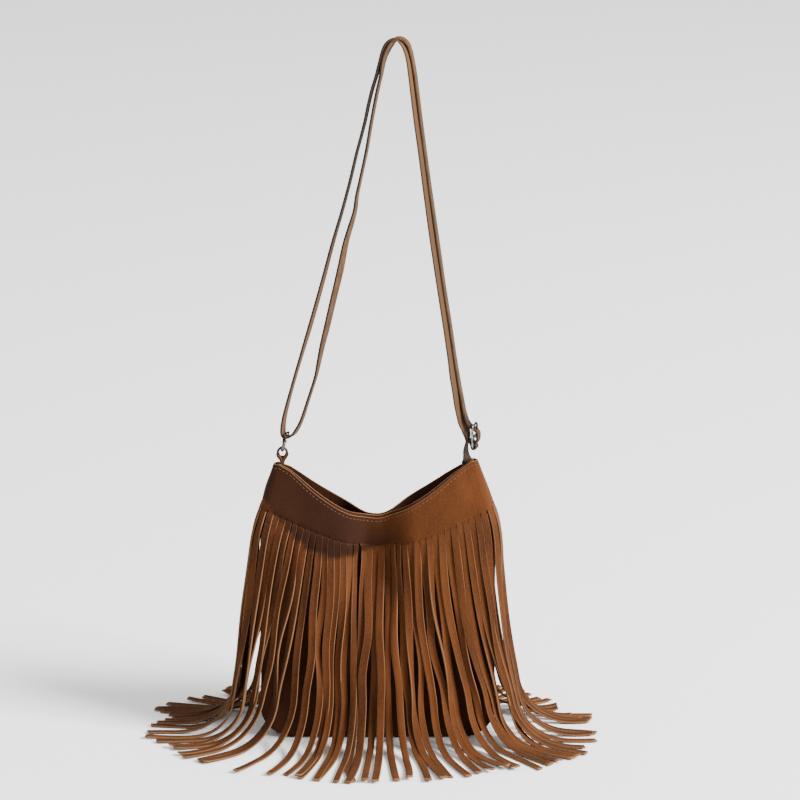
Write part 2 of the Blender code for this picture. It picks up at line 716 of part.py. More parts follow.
def add_snap_hook(finish):
    """Bent wire hook whose stem grows from the side of the swivel barrel."""
    bow = []
    for degrees in np.linspace(180.0, 360.0, 11):
        a = math.radians(degrees)
        bow.append(hook_point(HOOK_BOW * math.cos(a), HOOK_BOW + HOOK_BOW * math.sin(a)))
    stem = [
        hook_point(-BARREL_RADIUS * 0.72, HOOK_CROTCH + BARREL_LENGTH / 2),
        hook_point(-BARREL_RADIUS * 1.15, HOOK_CROTCH + BARREL_LENGTH / 4),
        hook_point(-HOOK_BOW, HOOK_CROTCH - 0.0012),
    ]
    tip = [hook_point(HOOK_BOW, HOOK_BOW + 0.0003)]
    hook = add_wire("snap_hook", stem + bow + tip, HOOK_FACE, HOOK_WIRE, finish)
    barrel = add_tube("barrel", HOOK_FOOT, HOOK_AXIS, POST_RADIUS + GAP, BARREL_RADIUS,
                      HOOK_CROTCH, BARREL_TOP, finish)
    boolean(hook, barrel, "UNION")
    ear_depth = GATE_THICKNESS / 2 + GAP + EAR_THICKNESS / 2
    for side in (-1, 1):
        root = hook_point(BARREL_RADIUS * 0.7, HOOK_CROTCH + BARREL_LENGTH / 2, side * ear_depth)
        end = hook_point(GATE_Y + 2 * GATE_PIN, GATE_TOP - GATE_PIN, side * ear_depth)
        verts, faces = sweep([root, end], HOOK_FACE, flat_profile(EAR_THICKNESS, 4 * GATE_PIN))
        boolean(hook, add_solid("ear", verts, faces, finish), "UNION")
    pin_path = [hook_point(GATE_Y, GATE_TOP, -ear_depth), hook_point(GATE_Y, GATE_TOP, ear_depth)]
    boolean(hook, add_wire("pin", pin_path, HOOK_AXIS, GATE_PIN, finish, sides=12), "UNION")
    return hook


def add_hook_gate(finish):
    """Lever from the pin down to the hook's tip."""
    path = [
        hook_point(GATE_Y, GATE_TOP + 2 * GATE_PIN),
        hook_point(GATE_Y, GATE_TOP - 2 * GATE_PIN),
        hook_point(HOOK_BOW, GATE_LOW),
    ]
    verts, faces = sweep(path, HOOK_FACE, flat_profile(GATE_THICKNESS, GATE_THICKNESS))
    gate = add_solid("hook_gate", verts, faces, finish)
    pin_path = [hook_point(GATE_Y, GATE_TOP, -GATE_THICKNESS), hook_point(GATE_Y, GATE_TOP, GATE_THICKNESS)]
    hole = add_wire("gate_hole", pin_path, HOOK_AXIS, GATE_PIN + GAP / 3, finish, sides=16)
    boolean(gate, hole, "DIFFERENCE")


def add_swivel_eye(finish):
    """Rounded rectangular eye on a post that turns in the barrel."""
    half = STRAP_WIDTH / 2 + 2 * GAP + EYE_WIRE
    corner = 0.0014
    centre = HOOK_FOOT + HOOK_AXIS * (EYE_LOW + EYE_HEIGHT / 2)
    rise = EYE_HEIGHT / 2
    points = []
    for cx, cz, start in ((half - corner, rise - corner, 0), (-half + corner, rise - corner, 90),
                          (-half + corner, -rise + corner, 180), (half - corner, -rise + corner, 270)):
        for degrees in (0, 30, 60, 90):
            a = math.radians(start + degrees)
            points.append((cx + corner * math.cos(a), cz + corner * math.sin(a)))
    path = [centre + WIDTH_DIR * a + HOOK_AXIS * b for a, b in points]
    eye = add_wire("swivel_eye", path, OUT_DIR, EYE_WIRE, finish, closed=True)
    post = [
        (HOOK_CROTCH - GAP - 0.0007, POST_HEAD),
        (HOOK_CROTCH - GAP, POST_HEAD),
        (HOOK_CROTCH - GAP, POST_RADIUS),
        (EYE_LOW, POST_RADIUS),
    ]
    boolean(eye, add_disc("post", HOOK_FOOT, HOOK_AXIS, post, finish, sides=12), "UNION")


# Right hardware

BUCKLE = np.array([MOUTH_WIDTH / 2 - BUCKLE_INSET, 0.0, BAG_HEIGHT + BUCKLE_RISE])
RAIL_FOLD = BUCKLE_WIRE + GAP + CHAPE_THICKNESS / 2
EYE_OUTER = BUCKLE_WIRE + GAP / 2 + 2 * PRONG_RADIUS
CHAPE_BACK = -(BUCKLE_WIRE + 2 * GAP + 2.1 * CHAPE_THICKNESS)
CHAPE_TOP = -(EYE_OUTER + 2 * GAP)
STRAP_BEHIND = CHAPE_BACK - GAP - STRAP_THICKNESS / 2


def buckle_point(out, up, width=0.0):
    return BUCKLE + OUT_DIR * out + UP * up + WIDTH_DIR * width


def add_buckle_frame(finish):
    """Rounded frame with a bar across its middle, cast as one piece."""
    half = BUCKLE_WIDTH / 2
    corner = BUCKLE_CORNER
    points = []
    for cx, cz, start in ((half - corner, BUCKLE_HALF - corner, 0), (-half + corner, BUCKLE_HALF - corner, 90),
                          (-half + corner, -BUCKLE_HALF + corner, 180), (half - corner, -BUCKLE_HALF + corner, 270)):
        for degrees in (0, 22.5, 45, 67.5, 90):
            a = math.radians(start + degrees)
            points.append((cx + corner * math.cos(a), cz + corner * math.sin(a)))
    path = [buckle_point(0.0, z, w) for w, z in points]
    frame = add_wire("buckle_frame", path, OUT_DIR, BUCKLE_WIRE, finish, closed=True)
    bar_path = [buckle_point(0.0, 0.0, -half), buckle_point(0.0, 0.0, half)]
    boolean(frame, add_wire("bar", bar_path, UP, BUCKLE_WIRE * 0.9, finish), "UNION")


def add_buckle_prong(finish):
    """Prong bent round the centre bar and up to rest on the top rail."""
    ring = BUCKLE_WIRE * 0.9 + GAP / 2 + PRONG_RADIUS
    points = []
    for degrees in (-165, -120, -75, -30, 15, 50):
        a = math.radians(degrees - 60)
        points.append((ring * math.cos(a), ring * math.sin(a)))
    rest = BUCKLE_WIRE + GAP + PRONG_RADIUS
    shank = [
        (ring * 0.93, ring * 1.25),
        (rest * 0.92, BUCKLE_HALF * 0.5),
        (rest, BUCKLE_HALF),
        (rest + 0.0007, BUCKLE_HALF + 0.0016),
        (rest + 0.0019, BUCKLE_HALF + 0.0019),
    ]
    path = [buckle_point(out, up) for out, up in points + shank]
    add_wire("buckle_prong", path, WIDTH_DIR, PRONG_RADIUS, finish)


def add_chape(finish):
    """Leather fold round the bottom rail, its two legs lying behind the frame."""
    leg = CHAPE_THICKNESS / 2 + GAP / 6
    middle = CHAPE_BACK + leg + CHAPE_THICKNESS / 2
    low = -BUCKLE_HALF
    loop = []
    for degrees in (170, 200, 232, 265, 298, 332, 370):
        a = math.radians(degrees)
        loop.append((RAIL_FOLD * math.cos(a), low + RAIL_FOLD * math.sin(a)))
    points = [(middle - leg, CHAPE_TOP), (middle - leg, low * 0.52), (middle + 0.0003, low * 0.76)]
    points += loop
    points += [(0.0005, low * 0.74), (middle + leg + 0.0011, low * 0.58)]
    points += [(middle + leg + 0.0001, low * 0.42), (middle + leg, CHAPE_TOP)]
    path = [buckle_point(out, up) for out, up in points]
    verts, faces = sweep(path, WIDTH_DIR, flat_profile(CHAPE_WIDTH, CHAPE_THICKNESS))
    add_solid("buckle_chape", verts, faces, finish)


# Strap

def strand(start, end, bulges):
    """Points from start to end, each bulge a share of the way and a sideways offset in metres."""
    points = []
    for share, offset in bulges:
        point = start + (end - start) * share
        points.append(point + np.array([offset, 0.0, 0.0]))
    return points


def arch(width, height, degrees):
    """Point on the strap's arch over the top, on an ellipse about its centre."""
    centre = np.array([STRAP_APEX_X, 0.0, BAG_HEIGHT + STRAP_RISE - STRAP_RUN])
    a = math.radians(degrees)
    return centre + np.array([width * math.cos(a), 0.0, height * math.sin(a)])


def sewn_end():
    """The strap's fixed end against the back panel's inner face, and which way its flat lies."""
    x = MOUTH_WIDTH / 2 - STRAP_WIDTH
    near = x + STRAP_WIDTH / 2
    far = x - STRAP_WIDTH / 2
    seat = 2.2 * GAP + STRAP_THICKNESS / 2
    points = []
    for z in (BAG_HEIGHT - TAB_DEPTH, BAG_HEIGHT - TAB_DEPTH / 4):
        y = inner_wall(near, z) - seat + (inner_wall(far, z) - inner_wall(near, z)) * 0.35
        points.append(np.array([x, y, z]))
    slope = (inner_wall(near, BAG_HEIGHT - TAB_DEPTH / 2) - inner_wall(far, BAG_HEIGHT - TAB_DEPTH / 2)) / STRAP_WIDTH
    points.append(np.array([x - 0.0001, points[1][1] * 0.85, BAG_HEIGHT + 0.0025]))
    return points, np.array([1.0, slope * 0.8, 0.0])


def strap_route():
    """Centre line from the sewn end at the right, round the loop, to the holed end."""
    sewn, _ = sewn_end()
    root = buckle_point(STRAP_BEHIND - 0.0002, -BUCKLE_HALF - 0.0026)
    lower = buckle_point(STRAP_BEHIND - 0.0001, -BUCKLE_HALF * 0.5)
    middle = buckle_point(STRAP_BEHIND - 0.0001, 0.0)
    over = buckle_point(STRAP_BEHIND, BUCKLE_HALF * 0.6)
    outer = STRAP_RUN - STRAP_THICKNESS / 2
    inner = outer - STRAP_LAY
    turn = []
    for degrees in (356, 326, 298, 270, 242, 214, 184):
        a = math.radians(degrees)
        turn.append(EYE_BAR + OUT_DIR * EYE_TURN_WIDTH * math.cos(a) + UP * EYE_TURN_DEPTH * math.sin(a))
    behind_rail = -(BUCKLE_WIRE + GAP + STRAP_THICKNESS / 2)
    arrive = buckle_point(behind_rail - 0.0006, BUCKLE_HALF + 0.0035)

    right_in = strand(over, arch(inner, STRAP_RUN - STRAP_LAY, 0), [
        (0.09, -0.0047), (0.20, -0.0054), (0.35, -0.0050), (0.49, -0.0045),
        (0.59, -0.0036), (0.74, -0.0025), (0.86, -0.0016), (0.93, -0.0012)])
    left_in = strand(arch(inner, STRAP_RUN - STRAP_LAY, 180), turn[0], [
        (0.08, 0.0004), (0.17, 0.0012), (0.24, 0.0034), (0.31, 0.0046), (0.39, 0.0056),
        (0.46, 0.0052), (0.55, 0.0063), (0.63, 0.0066), (0.72, 0.0073), (0.835, 0.0076),
        (0.92, 0.0054), (0.97, 0.0034)])
    left_out = strand(turn[-1], arch(outer, STRAP_RUN, 180), [
        (0.04, -0.0022), (0.15, -0.0030), (0.27, -0.0013), (0.37, -0.0008), (0.46, -0.0009),
        (0.56, -0.0015), (0.66, -0.0007), (0.76, -0.0012), (0.85, 0.0002), (0.893, -0.0015),
        (0.94, -0.0004)])
    right_out = strand(arch(outer, STRAP_RUN, 0), arrive, [
        (0.07, -0.0007), (0.14, -0.0012), (0.26, -0.0027), (0.41, -0.0038),
        (0.51, -0.0045), (0.65, -0.0050), (0.80, -0.0052), (0.91, -0.0046)])
    fold_out = RAIL_FOLD + CHAPE_THICKNESS / 2 + GAP + STRAP_THICKNESS / 2
    pinned = [
        arrive,
        buckle_point(behind_rail - 0.0002, BUCKLE_HALF),
        buckle_point(0.0007, BUCKLE_HALF * 0.42),
        buckle_point(EYE_OUTER + GAP + STRAP_THICKNESS / 2, 0.0),
        buckle_point(fold_out + 0.0003, -BUCKLE_HALF * 0.6),
        buckle_point(fold_out, -BUCKLE_HALF - 0.0012),
    ]
    points = sewn + [root, lower, middle, over] + right_in
    points += [arch(inner, STRAP_RUN - STRAP_LAY, a) for a in (0, 32, 62, 90, 118, 148, 180)]
    points += left_in + turn + left_out
    points += [arch(outer, STRAP_RUN, a) for a in (180, 148, 118, 90, 62, 32, 0)]
    points += right_out + pinned
    return np.array(points), len(sewn)


def add_strap(finish):
    """Flat strap along its route, twisted at the sewn end, with a row of punched holes."""
    points, sewn = strap_route()
    per_span = 3
    path = spline(points, per_span)
    across = np.tile(WIDTH_DIR, (len(path), 1))
    _, flat = sewn_end()
    twist_start = (sewn - 2) * per_span
    twist_end = sewn * per_span
    for i in range(twist_end):
        share = float(smooth((i - twist_start) / (twist_end - twist_start)))
        turned = flat * (1.0 - share) + WIDTH_DIR * share
        across[i] = turned / np.linalg.norm(turned)
    verts, faces = sweep(path, across, flat_profile(STRAP_WIDTH, STRAP_THICKNESS))
    strap = add_solid("strap", verts, faces, finish)
    punch_holes(strap, path, finish)
    slot_path = [buckle_point(EYE_OUTER * 0.8, -0.0002), buckle_point(BUCKLE_WIRE + GAP + PRONG_RADIUS, BUCKLE_HALF - 0.0004)]
    slot = add_wire("prong_slot", slot_path, WIDTH_DIR, PRONG_RADIUS + 2 * GAP, finish, sides=10)
    boolean(strap, slot, "DIFFERENCE")


def punch_holes(strap, path, finish):
    """Round holes up the strap from the pinned one."""
    step = np.linalg.norm(np.diff(path, axis=0), axis=1)
    length = np.concatenate([[0.0], np.cumsum(step)])
    tangent = tangents(path)
    for hole in range(1, HOLE_COUNT + 1):
        place = length[-1] - 2 * BUCKLE_HALF - hole * HOLE_PITCH
        centre = np.array([np.interp(place, length, path[:, k]) for k in range(3)])
        along = np.array([np.interp(place, length, tangent[:, k]) for k in range(3)])
        through = np.cross(along, WIDTH_DIR)
        through /= np.linalg.norm(through)
        ends = [centre - through * STRAP_THICKNESS, centre + through * STRAP_THICKNESS]
        cutter = add_wire("punch", ends, WIDTH_DIR, HOLE_RADIUS, finish, sides=10)
        boolean(strap, cutter, "DIFFERENCE")


def build():
    clear_scene()
    suede = material("suede_fringe", SUEDE_COLOR, 0.95)
    pouch = material("suede_pouch", POUCH_COLOR, 0.95)
    leather = material("strap_leather", STRAP_COLOR, 0.60)
    nickel = material("dark_nickel", NICKEL_COLOR, 0.28, 1.0)
    add_panel("front_panel", -1, pouch)
    add_panel("back_panel", 1, pouch)
    add_gusset(pouch)
    add_fringe("front_fringe", -1, suede)
    add_fringe("back_fringe", 1, suede)
    add_snap(nickel)
    add_ring_tab(pouch)
    add_d_ring(nickel)
    add_snap_hook(nickel)
    add_hook_gate(nickel)
    add_swivel_eye(nickel)
    add_strap(leather)
    add_chape(leather)
    add_buckle_frame(nickel)
    add_buckle_prong(nickel)


build()
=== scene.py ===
"""Fringed suede shoulder bag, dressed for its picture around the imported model.

Metres, +Z up, the bag standing on the floor at z = 0 with its front facing -Y.
"""
import math

import bmesh
import bpy
import numpy as np
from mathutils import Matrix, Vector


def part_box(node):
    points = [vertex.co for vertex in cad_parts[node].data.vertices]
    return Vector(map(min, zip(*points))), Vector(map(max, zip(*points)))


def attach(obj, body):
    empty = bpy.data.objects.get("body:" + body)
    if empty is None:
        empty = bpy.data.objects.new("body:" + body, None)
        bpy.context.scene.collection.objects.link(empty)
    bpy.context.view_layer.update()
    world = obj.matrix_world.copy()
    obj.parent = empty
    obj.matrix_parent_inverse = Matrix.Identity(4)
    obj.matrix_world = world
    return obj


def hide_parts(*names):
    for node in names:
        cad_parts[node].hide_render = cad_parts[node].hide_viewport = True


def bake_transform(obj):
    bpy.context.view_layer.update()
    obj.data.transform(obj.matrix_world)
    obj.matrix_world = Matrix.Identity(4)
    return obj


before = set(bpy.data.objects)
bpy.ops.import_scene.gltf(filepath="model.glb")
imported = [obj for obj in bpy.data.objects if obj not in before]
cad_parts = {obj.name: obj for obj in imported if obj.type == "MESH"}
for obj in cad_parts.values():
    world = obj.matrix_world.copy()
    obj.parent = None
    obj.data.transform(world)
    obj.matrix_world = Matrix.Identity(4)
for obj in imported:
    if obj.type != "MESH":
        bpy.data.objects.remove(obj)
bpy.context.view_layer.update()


# Camera
# One camera a little above the mouth of the bag, looking down at it from far off with a long lens,
# so that the bag's sides stay nearly parallel.

CAMERA_PITCH = math.radians(14)
CAMERA_PLACE = (0.0166, -2.5228, 0.8856)
CAMERA_VIEW = math.radians(13.05)

camera_data = bpy.data.cameras.new("camera")
camera_data.angle = CAMERA_VIEW
camera = bpy.data.objects.new("camera", camera_data)
camera.location = CAMERA_PLACE
camera.rotation_euler = (math.pi / 2 - CAMERA_PITCH, 0.0, 0.0)
bpy.context.scene.collection.objects.link(camera)
bpy.context.scene.camera = camera


# Studio
# A plain pale floor, one large soft light high on the right and a white room around it, as for a
# picture in a shop.

FLOOR_TONE = (0.93, 0.93, 0.93)
FLOOR_ROUGHNESS = 0.9
FLOOR_HALF = 6.0
ROOM_LIGHT = 1.2
KEY_LIGHT = 1450.0
KEY_PLACE = (4.6, -2.3, 3.4)
KEY_TARGET = (0.0, 0.0, 0.15)
KEY_SIZE = 2.2


def make_shader(name, roughness, metallic=0.0):
    """A new material and its Principled shader."""
    made = bpy.data.materials.new(name)
    made.use_nodes = True
    shader = made.node_tree.nodes["Principled BSDF"]
    shader.inputs["Roughness"].default_value = roughness
    shader.inputs["Metallic"].default_value = metallic
    return made, shader


def aim(obj, target):
    """Turn a light's -Z axis towards a point."""
    x, y, z = np.array(target) - np.array(obj.location)
    obj.rotation_euler = (math.atan2(math.hypot(x, y), -z), 0.0, math.atan2(-x, y))


room = bpy.data.worlds.new("room")
room.use_nodes = True
room_light = room.node_tree.nodes["Background"]
room_light.inputs["Color"].default_value = (1.0, 1.0, 1.0, 1.0)
room_light.inputs["Strength"].default_value = ROOM_LIGHT
bpy.context.scene.world = room

key_data = bpy.data.lights.new("key_light", "AREA")
key_data.energy = KEY_LIGHT
key_data.size = KEY_SIZE
key_light = bpy.data.objects.new("key_light", key_data)
key_light.location = KEY_PLACE
aim(key_light, KEY_TARGET)
bpy.context.scene.collection.objects.link(key_light)

floor_mesh = bpy.data.meshes.new("studio_floor")
floor_corners = [(x * FLOOR_HALF, y * FLOOR_HALF, 0.0) for x, y in ((-1, -1), (1, -1), (1, 1), (-1, 1))]
floor_mesh.from_pydata(floor_corners, [], [(0, 1, 2, 3)])
studio_floor = bpy.data.objects.new("studio_floor", floor_mesh)
bpy.context.scene.collection.objects.link(studio_floor)
floor_finish, floor_shader = make_shader("floor_paper", FLOOR_ROUGHNESS)
floor_shader.inputs["Base Color"].default_value = (*FLOOR_TONE, 1.0)
floor_mesh.materials.append(floor_finish)


# Pouch
# A small bucket of brown suede: a front and a back panel and one gusset strip between them, sewn inside
# out and turned, so that each seam is a soft rolled edge. A magnetic snap pulls the middle together.

BAG_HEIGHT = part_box("gusset")[1].z
HALF_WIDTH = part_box("gusset")[1].x
HALF_DEPTH = 0.025
GUSSET_HOLLOW = 0.0022
SIDE_DRAW = 0.013
MOUTH_HALF = HALF_WIDTH - SIDE_DRAW
MOUTH_DIP = 0.044
MOUTH_CORNER_HALF = 0.003
RIM_FOOT = 0.1
RIM_POWER_LEFT = 1.25
RIM_POWER_RIGHT = 0.95
TAPER_START = 0.150
GUSSET_TAPER_START = 0.040
LEFT_DROP = 0.0028
LEFT_DROP_FROM = (0.064, 0.185)
LEFT_DROP_OVER = (0.010, 0.022)
RIGHT_DRAW = 0.0030
RIGHT_DRAW_FROM = (0.03, 0.165)
RIGHT_DRAW_OVER = (0.04, 0.045)
BASE_CORNER = 0.024
SEAM = 0.005
SUEDE = 0.0014
PIECE_GAP = 0.0003
BELLY_LOW = 0.0015
BELLY = 0.0065
RIM_RISE = 0.0018
SNAP_HALF = 0.00385
SNAP_WIDTH = 0.018
SNAP_PULL_LOW = 0.085
SNAP_PULL_RUN = 0.053
RAW_EDGE_COLOR = (0.290, 0.152, 0.075)
POUCH_COLORS = ((0.0125, 0.0030, 0.0007), (0.0300, 0.0076, 0.0015))
POUCH_FIBRE_COLOR = (0.052, 0.0155, 0.0038)

# Soft hollows of the suede: how deep, then place and reach across and up. Drag folds slant across the
# panel above them, and a ripple runs along its base.
HOLLOWS = ((0.0022, -0.045, 0.022, 0.150, 0.040), (0.0016, 0.052, 0.020, 0.060, 0.030),
           (0.0014, -0.020, 0.030, 0.045, 0.025))
DRAG_DEPTH = 0.0007
DRAG_WAVE = 190.0
RIPPLE_DEPTH = 0.0004
RIPPLE_WAVE = 150.0
SAG_ALL = 0.0006


def ease(value):
    """Smooth step: 0 below 0, 1 above 1, with level ends."""
    value = np.clip(value, 0.0, 1.0)
    return value * value * (3.0 - 2.0 * value)


def bump_at(value, centre, width):
    """Bell of height 1 at the centre, falling off over the width."""
    return np.exp(-((value - centre) / width) ** 2)


def rim_height(u):
    """Height of the mouth's rim: a V with a round foot, its corners at u = -1 and 1."""
    share = (np.sqrt(u ** 2 + RIM_FOOT ** 2) - RIM_FOOT) / (math.sqrt(1.0 + RIM_FOOT ** 2) - RIM_FOOT)
    return BAG_HEIGHT - MOUTH_DIP * (1.0 - share ** np.where(u < 0, RIM_POWER_LEFT, RIM_POWER_RIGHT))


def pouch_half_width(z):
    """Half width: straight up to the taper, then drawn in towards the mouth by a power curve."""
    share = np.clip((z - TAPER_START) / (BAG_HEIGHT - TAPER_START), 0.0, 1.1)
    return HALF_WIDTH - (HALF_WIDTH - MOUTH_HALF) * share ** 1.6


def gusset_half(z):
    """Half the gusset's width: full at the base, a few millimetres at the mouth's corners."""
    share = np.clip((z - GUSSET_TAPER_START) / (BAG_HEIGHT - GUSSET_TAPER_START), 0.0, 1.0)
    return MOUTH_CORNER_HALF + (HALF_DEPTH - MOUTH_CORNER_HALF) * (1.0 - share ** 2.2)


def seam_radius(z):
    """Radius of the turned seams: the full one, or less where the gusset is narrower than that."""
    return np.minimum(SEAM, 0.8 * gusset_half(z))


def panel_depth(x, z):
    """Panel's distance from the middle plane: gusset, plus a belly, drawn in to the snap at x = 0."""
    inner_width = pouch_half_width(z) - seam_radius(z)
    belly = BELLY_LOW + BELLY * ease(z / (BAG_HEIGHT - MOUTH_DIP / 2))
    free = gusset_half(z) + belly * (1.0 - np.minimum(1.0, (x / inner_width) ** 2))
    pull = ease((z - SNAP_PULL_LOW) / SNAP_PULL_RUN) / (1.0 + (x / SNAP_WIDTH) ** 4)
    return free + (SNAP_HALF - free) * pull


def edge_distance(x, z):
    """Distance in from the pouch's outline as seen from the front."""
    over = np.maximum(np.abs(x) - (HALF_WIDTH - BASE_CORNER), 0.0)
    below = np.maximum(BASE_CORNER - z, 0.0)
    straight = np.minimum(pouch_half_width(z) - np.abs(x), z)
    return np.where((over > 0) & (below > 0), BASE_CORNER - np.hypot(over, below), straight)


def outline_half_width(z, inset):
    """Half width of the outline's inset copy, round at the two lower corners."""
    below = np.maximum(BASE_CORNER - z, 0.0)
    arc = HALF_WIDTH - BASE_CORNER + np.sqrt(np.maximum((BASE_CORNER - inset) ** 2 - below ** 2, 0.0))
    return np.where(z < BASE_CORNER, arc, pouch_half_width(z) - inset)


def sag(x, z, side):
    """How far the suede sags inward: a few long bells, slanting waves and a ripple at the base."""
    inside = ease((edge_distance(x, z) - 0.002) / 0.02)
    x = x * -side
    hollow = sum(
        deep * bump_at(x, x0, wide) * bump_at(z, z0, high) for deep, x0, wide, z0, high in HOLLOWS)
    drag = DRAG_DEPTH * np.sin((z - 0.6 * x) * DRAG_WAVE) * bump_at(z, 0.110, 0.045)
    drag = drag * ease(np.abs(x) / 0.02)
    ripple = RIPPLE_DEPTH * np.sin(x * RIPPLE_WAVE + 1.3) * bump_at(z, 0.012, 0.020)
    return inside * (hollow + drag * 0.6 + ripple + SAG_ALL)


def settle(points):
    """Draw the mouth's right corner in and let its left corner drop, by smooth steps across and up."""
    def step(x, z, start, over):
        return ease((x - start[0]) / over[0]) * ease((z - start[1]) / over[1])

    x, z = points[..., 0], points[..., 2]
    draw = RIGHT_DRAW * step(x, z, RIGHT_DRAW_FROM, RIGHT_DRAW_OVER)
    drop = LEFT_DROP * step(-x, z, LEFT_DROP_FROM, LEFT_DROP_OVER)
    return points - np.stack([draw, 0.0 * draw, drop], axis=-1)


def panel_face(x, z, side):
    """Depth of a panel's outer face: the panel, its turned edges and the suede's own sag."""
    seam = seam_radius(z)
    reach = np.clip(seam - edge_distance(x, z), 0.0, 0.98 * seam)
    return panel_depth(x, z) - sag(x, z, side) - seam + np.sqrt(seam ** 2 - reach ** 2)


def face_normals(depth, x, z):
    """Unit normals, facing -Y, of the surface y = -depth(x, z), by small differences."""
    step = 2e-5
    slope_x = (depth(x + step, z) - depth(x - step, z)) / (2 * step)
    slope_z = (depth(x, z + step) - depth(x, z - step)) / (2 * step)
    normal = np.stack([-slope_x, -np.ones_like(slope_x), -slope_z], axis=-1)
    return normal / np.linalg.norm(normal, axis=-1, keepdims=True)


def grid_faces(rows, columns, start=0):
    """Four-sided faces of a grid of points stored row by row."""
    corner = (np.arange(rows - 1)[:, None] * columns + np.arange(columns - 1)).reshape(-1, 1) + start
    return corner + np.array([0, 1, columns + 1, columns])


def shell(outer, inner, bulge=0.35):
    """Closed sheet: two grids of points, and a middle ring pushed out past their edge to round it."""
    rows, columns = outer.shape[:2]
    count = rows * columns
    ring = np.concatenate([
        np.arange(columns),
        np.arange(1, rows) * columns + columns - 1,
        count - 2 - np.arange(columns - 1),
        np.arange(rows - 2, 0, -1) * columns])
    middle = (outer + inner) / 2
    row = ring // columns
    column = ring % columns
    inward = middle[np.clip(row, 1, rows - 2), np.clip(column, 1, columns - 2)]
    out = middle[row, column] - inward
    out /= np.linalg.norm(out, axis=1, keepdims=True)
    thick = np.linalg.norm((outer - inner)[row, column], axis=1, keepdims=True)
    edge = middle[row, column] + out * thick * bulge
    points = np.concatenate([outer.reshape(-1, 3), inner.reshape(-1, 3), edge])
    quads = grid_faces(rows, columns)
    after = np.roll(ring, -1)
    mid = 2 * count + np.arange(len(ring))
    mid_after = np.roll(mid, -1)
    faces = np.concatenate([
        quads,
        (quads + count)[:, ::-1],
        np.stack([after, ring, mid, mid_after], axis=1),
        np.stack([mid_after, mid, ring + count, after + count], axis=1)])
    return points, faces.tolist()


def make_piece(name, points, faces, finish, values=None, crease=None):
    """A mesh object from points and faces, its faces turned out, with named numbers at its points."""
    mesh = bpy.data.meshes.new(name)
    mesh.from_pydata(np.asarray(points, dtype=float).tolist(), [], faces)
    solid = bmesh.new()
    solid.from_mesh(mesh)
    bmesh.ops.recalc_face_normals(solid, faces=solid.faces)
    if solid.calc_volume(signed=True) < 0:
        bmesh.ops.reverse_faces(solid, faces=solid.faces)
    solid.to_mesh(mesh)
    solid.free()
    for key, numbers in (values or {}).items():
        layer = mesh.attributes.new(key, "FLOAT", "POINT")
        layer.data.foreach_set("value", np.asarray(numbers, dtype=np.float32))
    mesh.shade_smooth()
    if crease is not None:
        mesh.set_sharp_from_angle(angle=math.radians(crease))
    mesh.materials.append(finish)
    piece = bpy.data.objects.new(name, mesh)
    bpy.context.scene.collection.objects.link(piece)
    return piece


def add_node(tree, kind, **settings):
    """A shader node, with its sockets set by name and its other settings by attribute."""
    made = tree.nodes.new(kind)
    for key, value in settings.items():
        if key in made.inputs:
            made.inputs[key].default_value = value
        else:
            setattr(made, key, value)
    return made


def noise(tree, scale, detail=3.0, stretch=None):
    """Noise on Object coordinates, stretched along an axis where a scale for each axis is given."""
    place = add_node(tree, "ShaderNodeTexCoord")
    made = add_node(tree, "ShaderNodeTexNoise", Scale=scale, Detail=detail)
    if stretch is None:
        tree.links.new(place.outputs["Object"], made.inputs["Vector"])
        return made
    mapping = add_node(tree, "ShaderNodeMapping")
    mapping.inputs["Scale"].default_value = stretch
    tree.links.new(place.outputs["Object"], mapping.inputs["Vector"])
    tree.links.new(mapping.outputs["Vector"], made.inputs["Vector"])
    return made


def ramp(tree, source, stops):
    """Colour ramp over a number; stops are (place, colour)."""
    made = tree.nodes.new("ShaderNodeValToRGB")
    elements = made.color_ramp.elements
    while len(elements) < len(stops):
        elements.new(1.0)
    for element, (place, color) in zip(elements, stops):
        element.position = place
        element.color = (*color, 1.0)
    tree.links.new(source, made.inputs["Fac"])
    return made.outputs["Color"]


def mix_colors(tree, factor, first, second, mode="MIX"):
    """Mix two colour outputs by a number output or a plain number."""
    made = tree.nodes.new("ShaderNodeMix")
    made.data_type = "RGBA"
    made.blend_type = mode
    if isinstance(factor, float):
        made.inputs["Factor"].default_value = factor
    else:
        tree.links.new(factor, made.inputs["Factor"])
    for socket, value in ((made.inputs[6], first), (made.inputs[7], second)):
        if isinstance(value, tuple):
            socket.default_value = (*value, 1.0)
        else:
            tree.links.new(value, socket)
    return made.outputs[2]


def scale_value(tree, source, low, high, new_low=0.0, new_high=1.0):
    """Carry a number from one range to another in a straight line, held at both ends."""
    made = add_node(tree, "ShaderNodeMapRange")
    made.inputs["From Min"].default_value = low
    made.inputs["From Max"].default_value = high
    made.inputs["To Min"].default_value = new_low
    made.inputs["To Max"].default_value = new_high
    tree.links.new(source, made.inputs["Value"])
    return made.outputs["Result"]


def read_value(tree, key):
    """Named number that make_piece has kept at the piece's points."""
    return add_node(tree, "ShaderNodeAttribute", attribute_name=key).outputs["Fac"]


def nap_bump(tree, shader, strength, scales):
    """Bump of brushed suede: coarse clouds of pile over fine fibres."""
    height = None
    for scale, share in scales:
        cloud = noise(tree, scale, 4.0).outputs["Fac"]
        level = scale_value(tree, cloud, 0.3, 0.7, 0.0, share)
        if height is None:
            height = level
            continue
        total = add_node(tree, "ShaderNodeMath", operation="ADD")
        tree.links.new(height, total.inputs[0])
        tree.links.new(level, total.inputs[1])
        height = total.outputs["Value"]
    bump = add_node(tree, "ShaderNodeBump", Strength=strength, Distance=0.0006)
    tree.links.new(height, bump.inputs["Height"])
    tree.links.new(bump.outputs["Normal"], shader.inputs["Normal"])


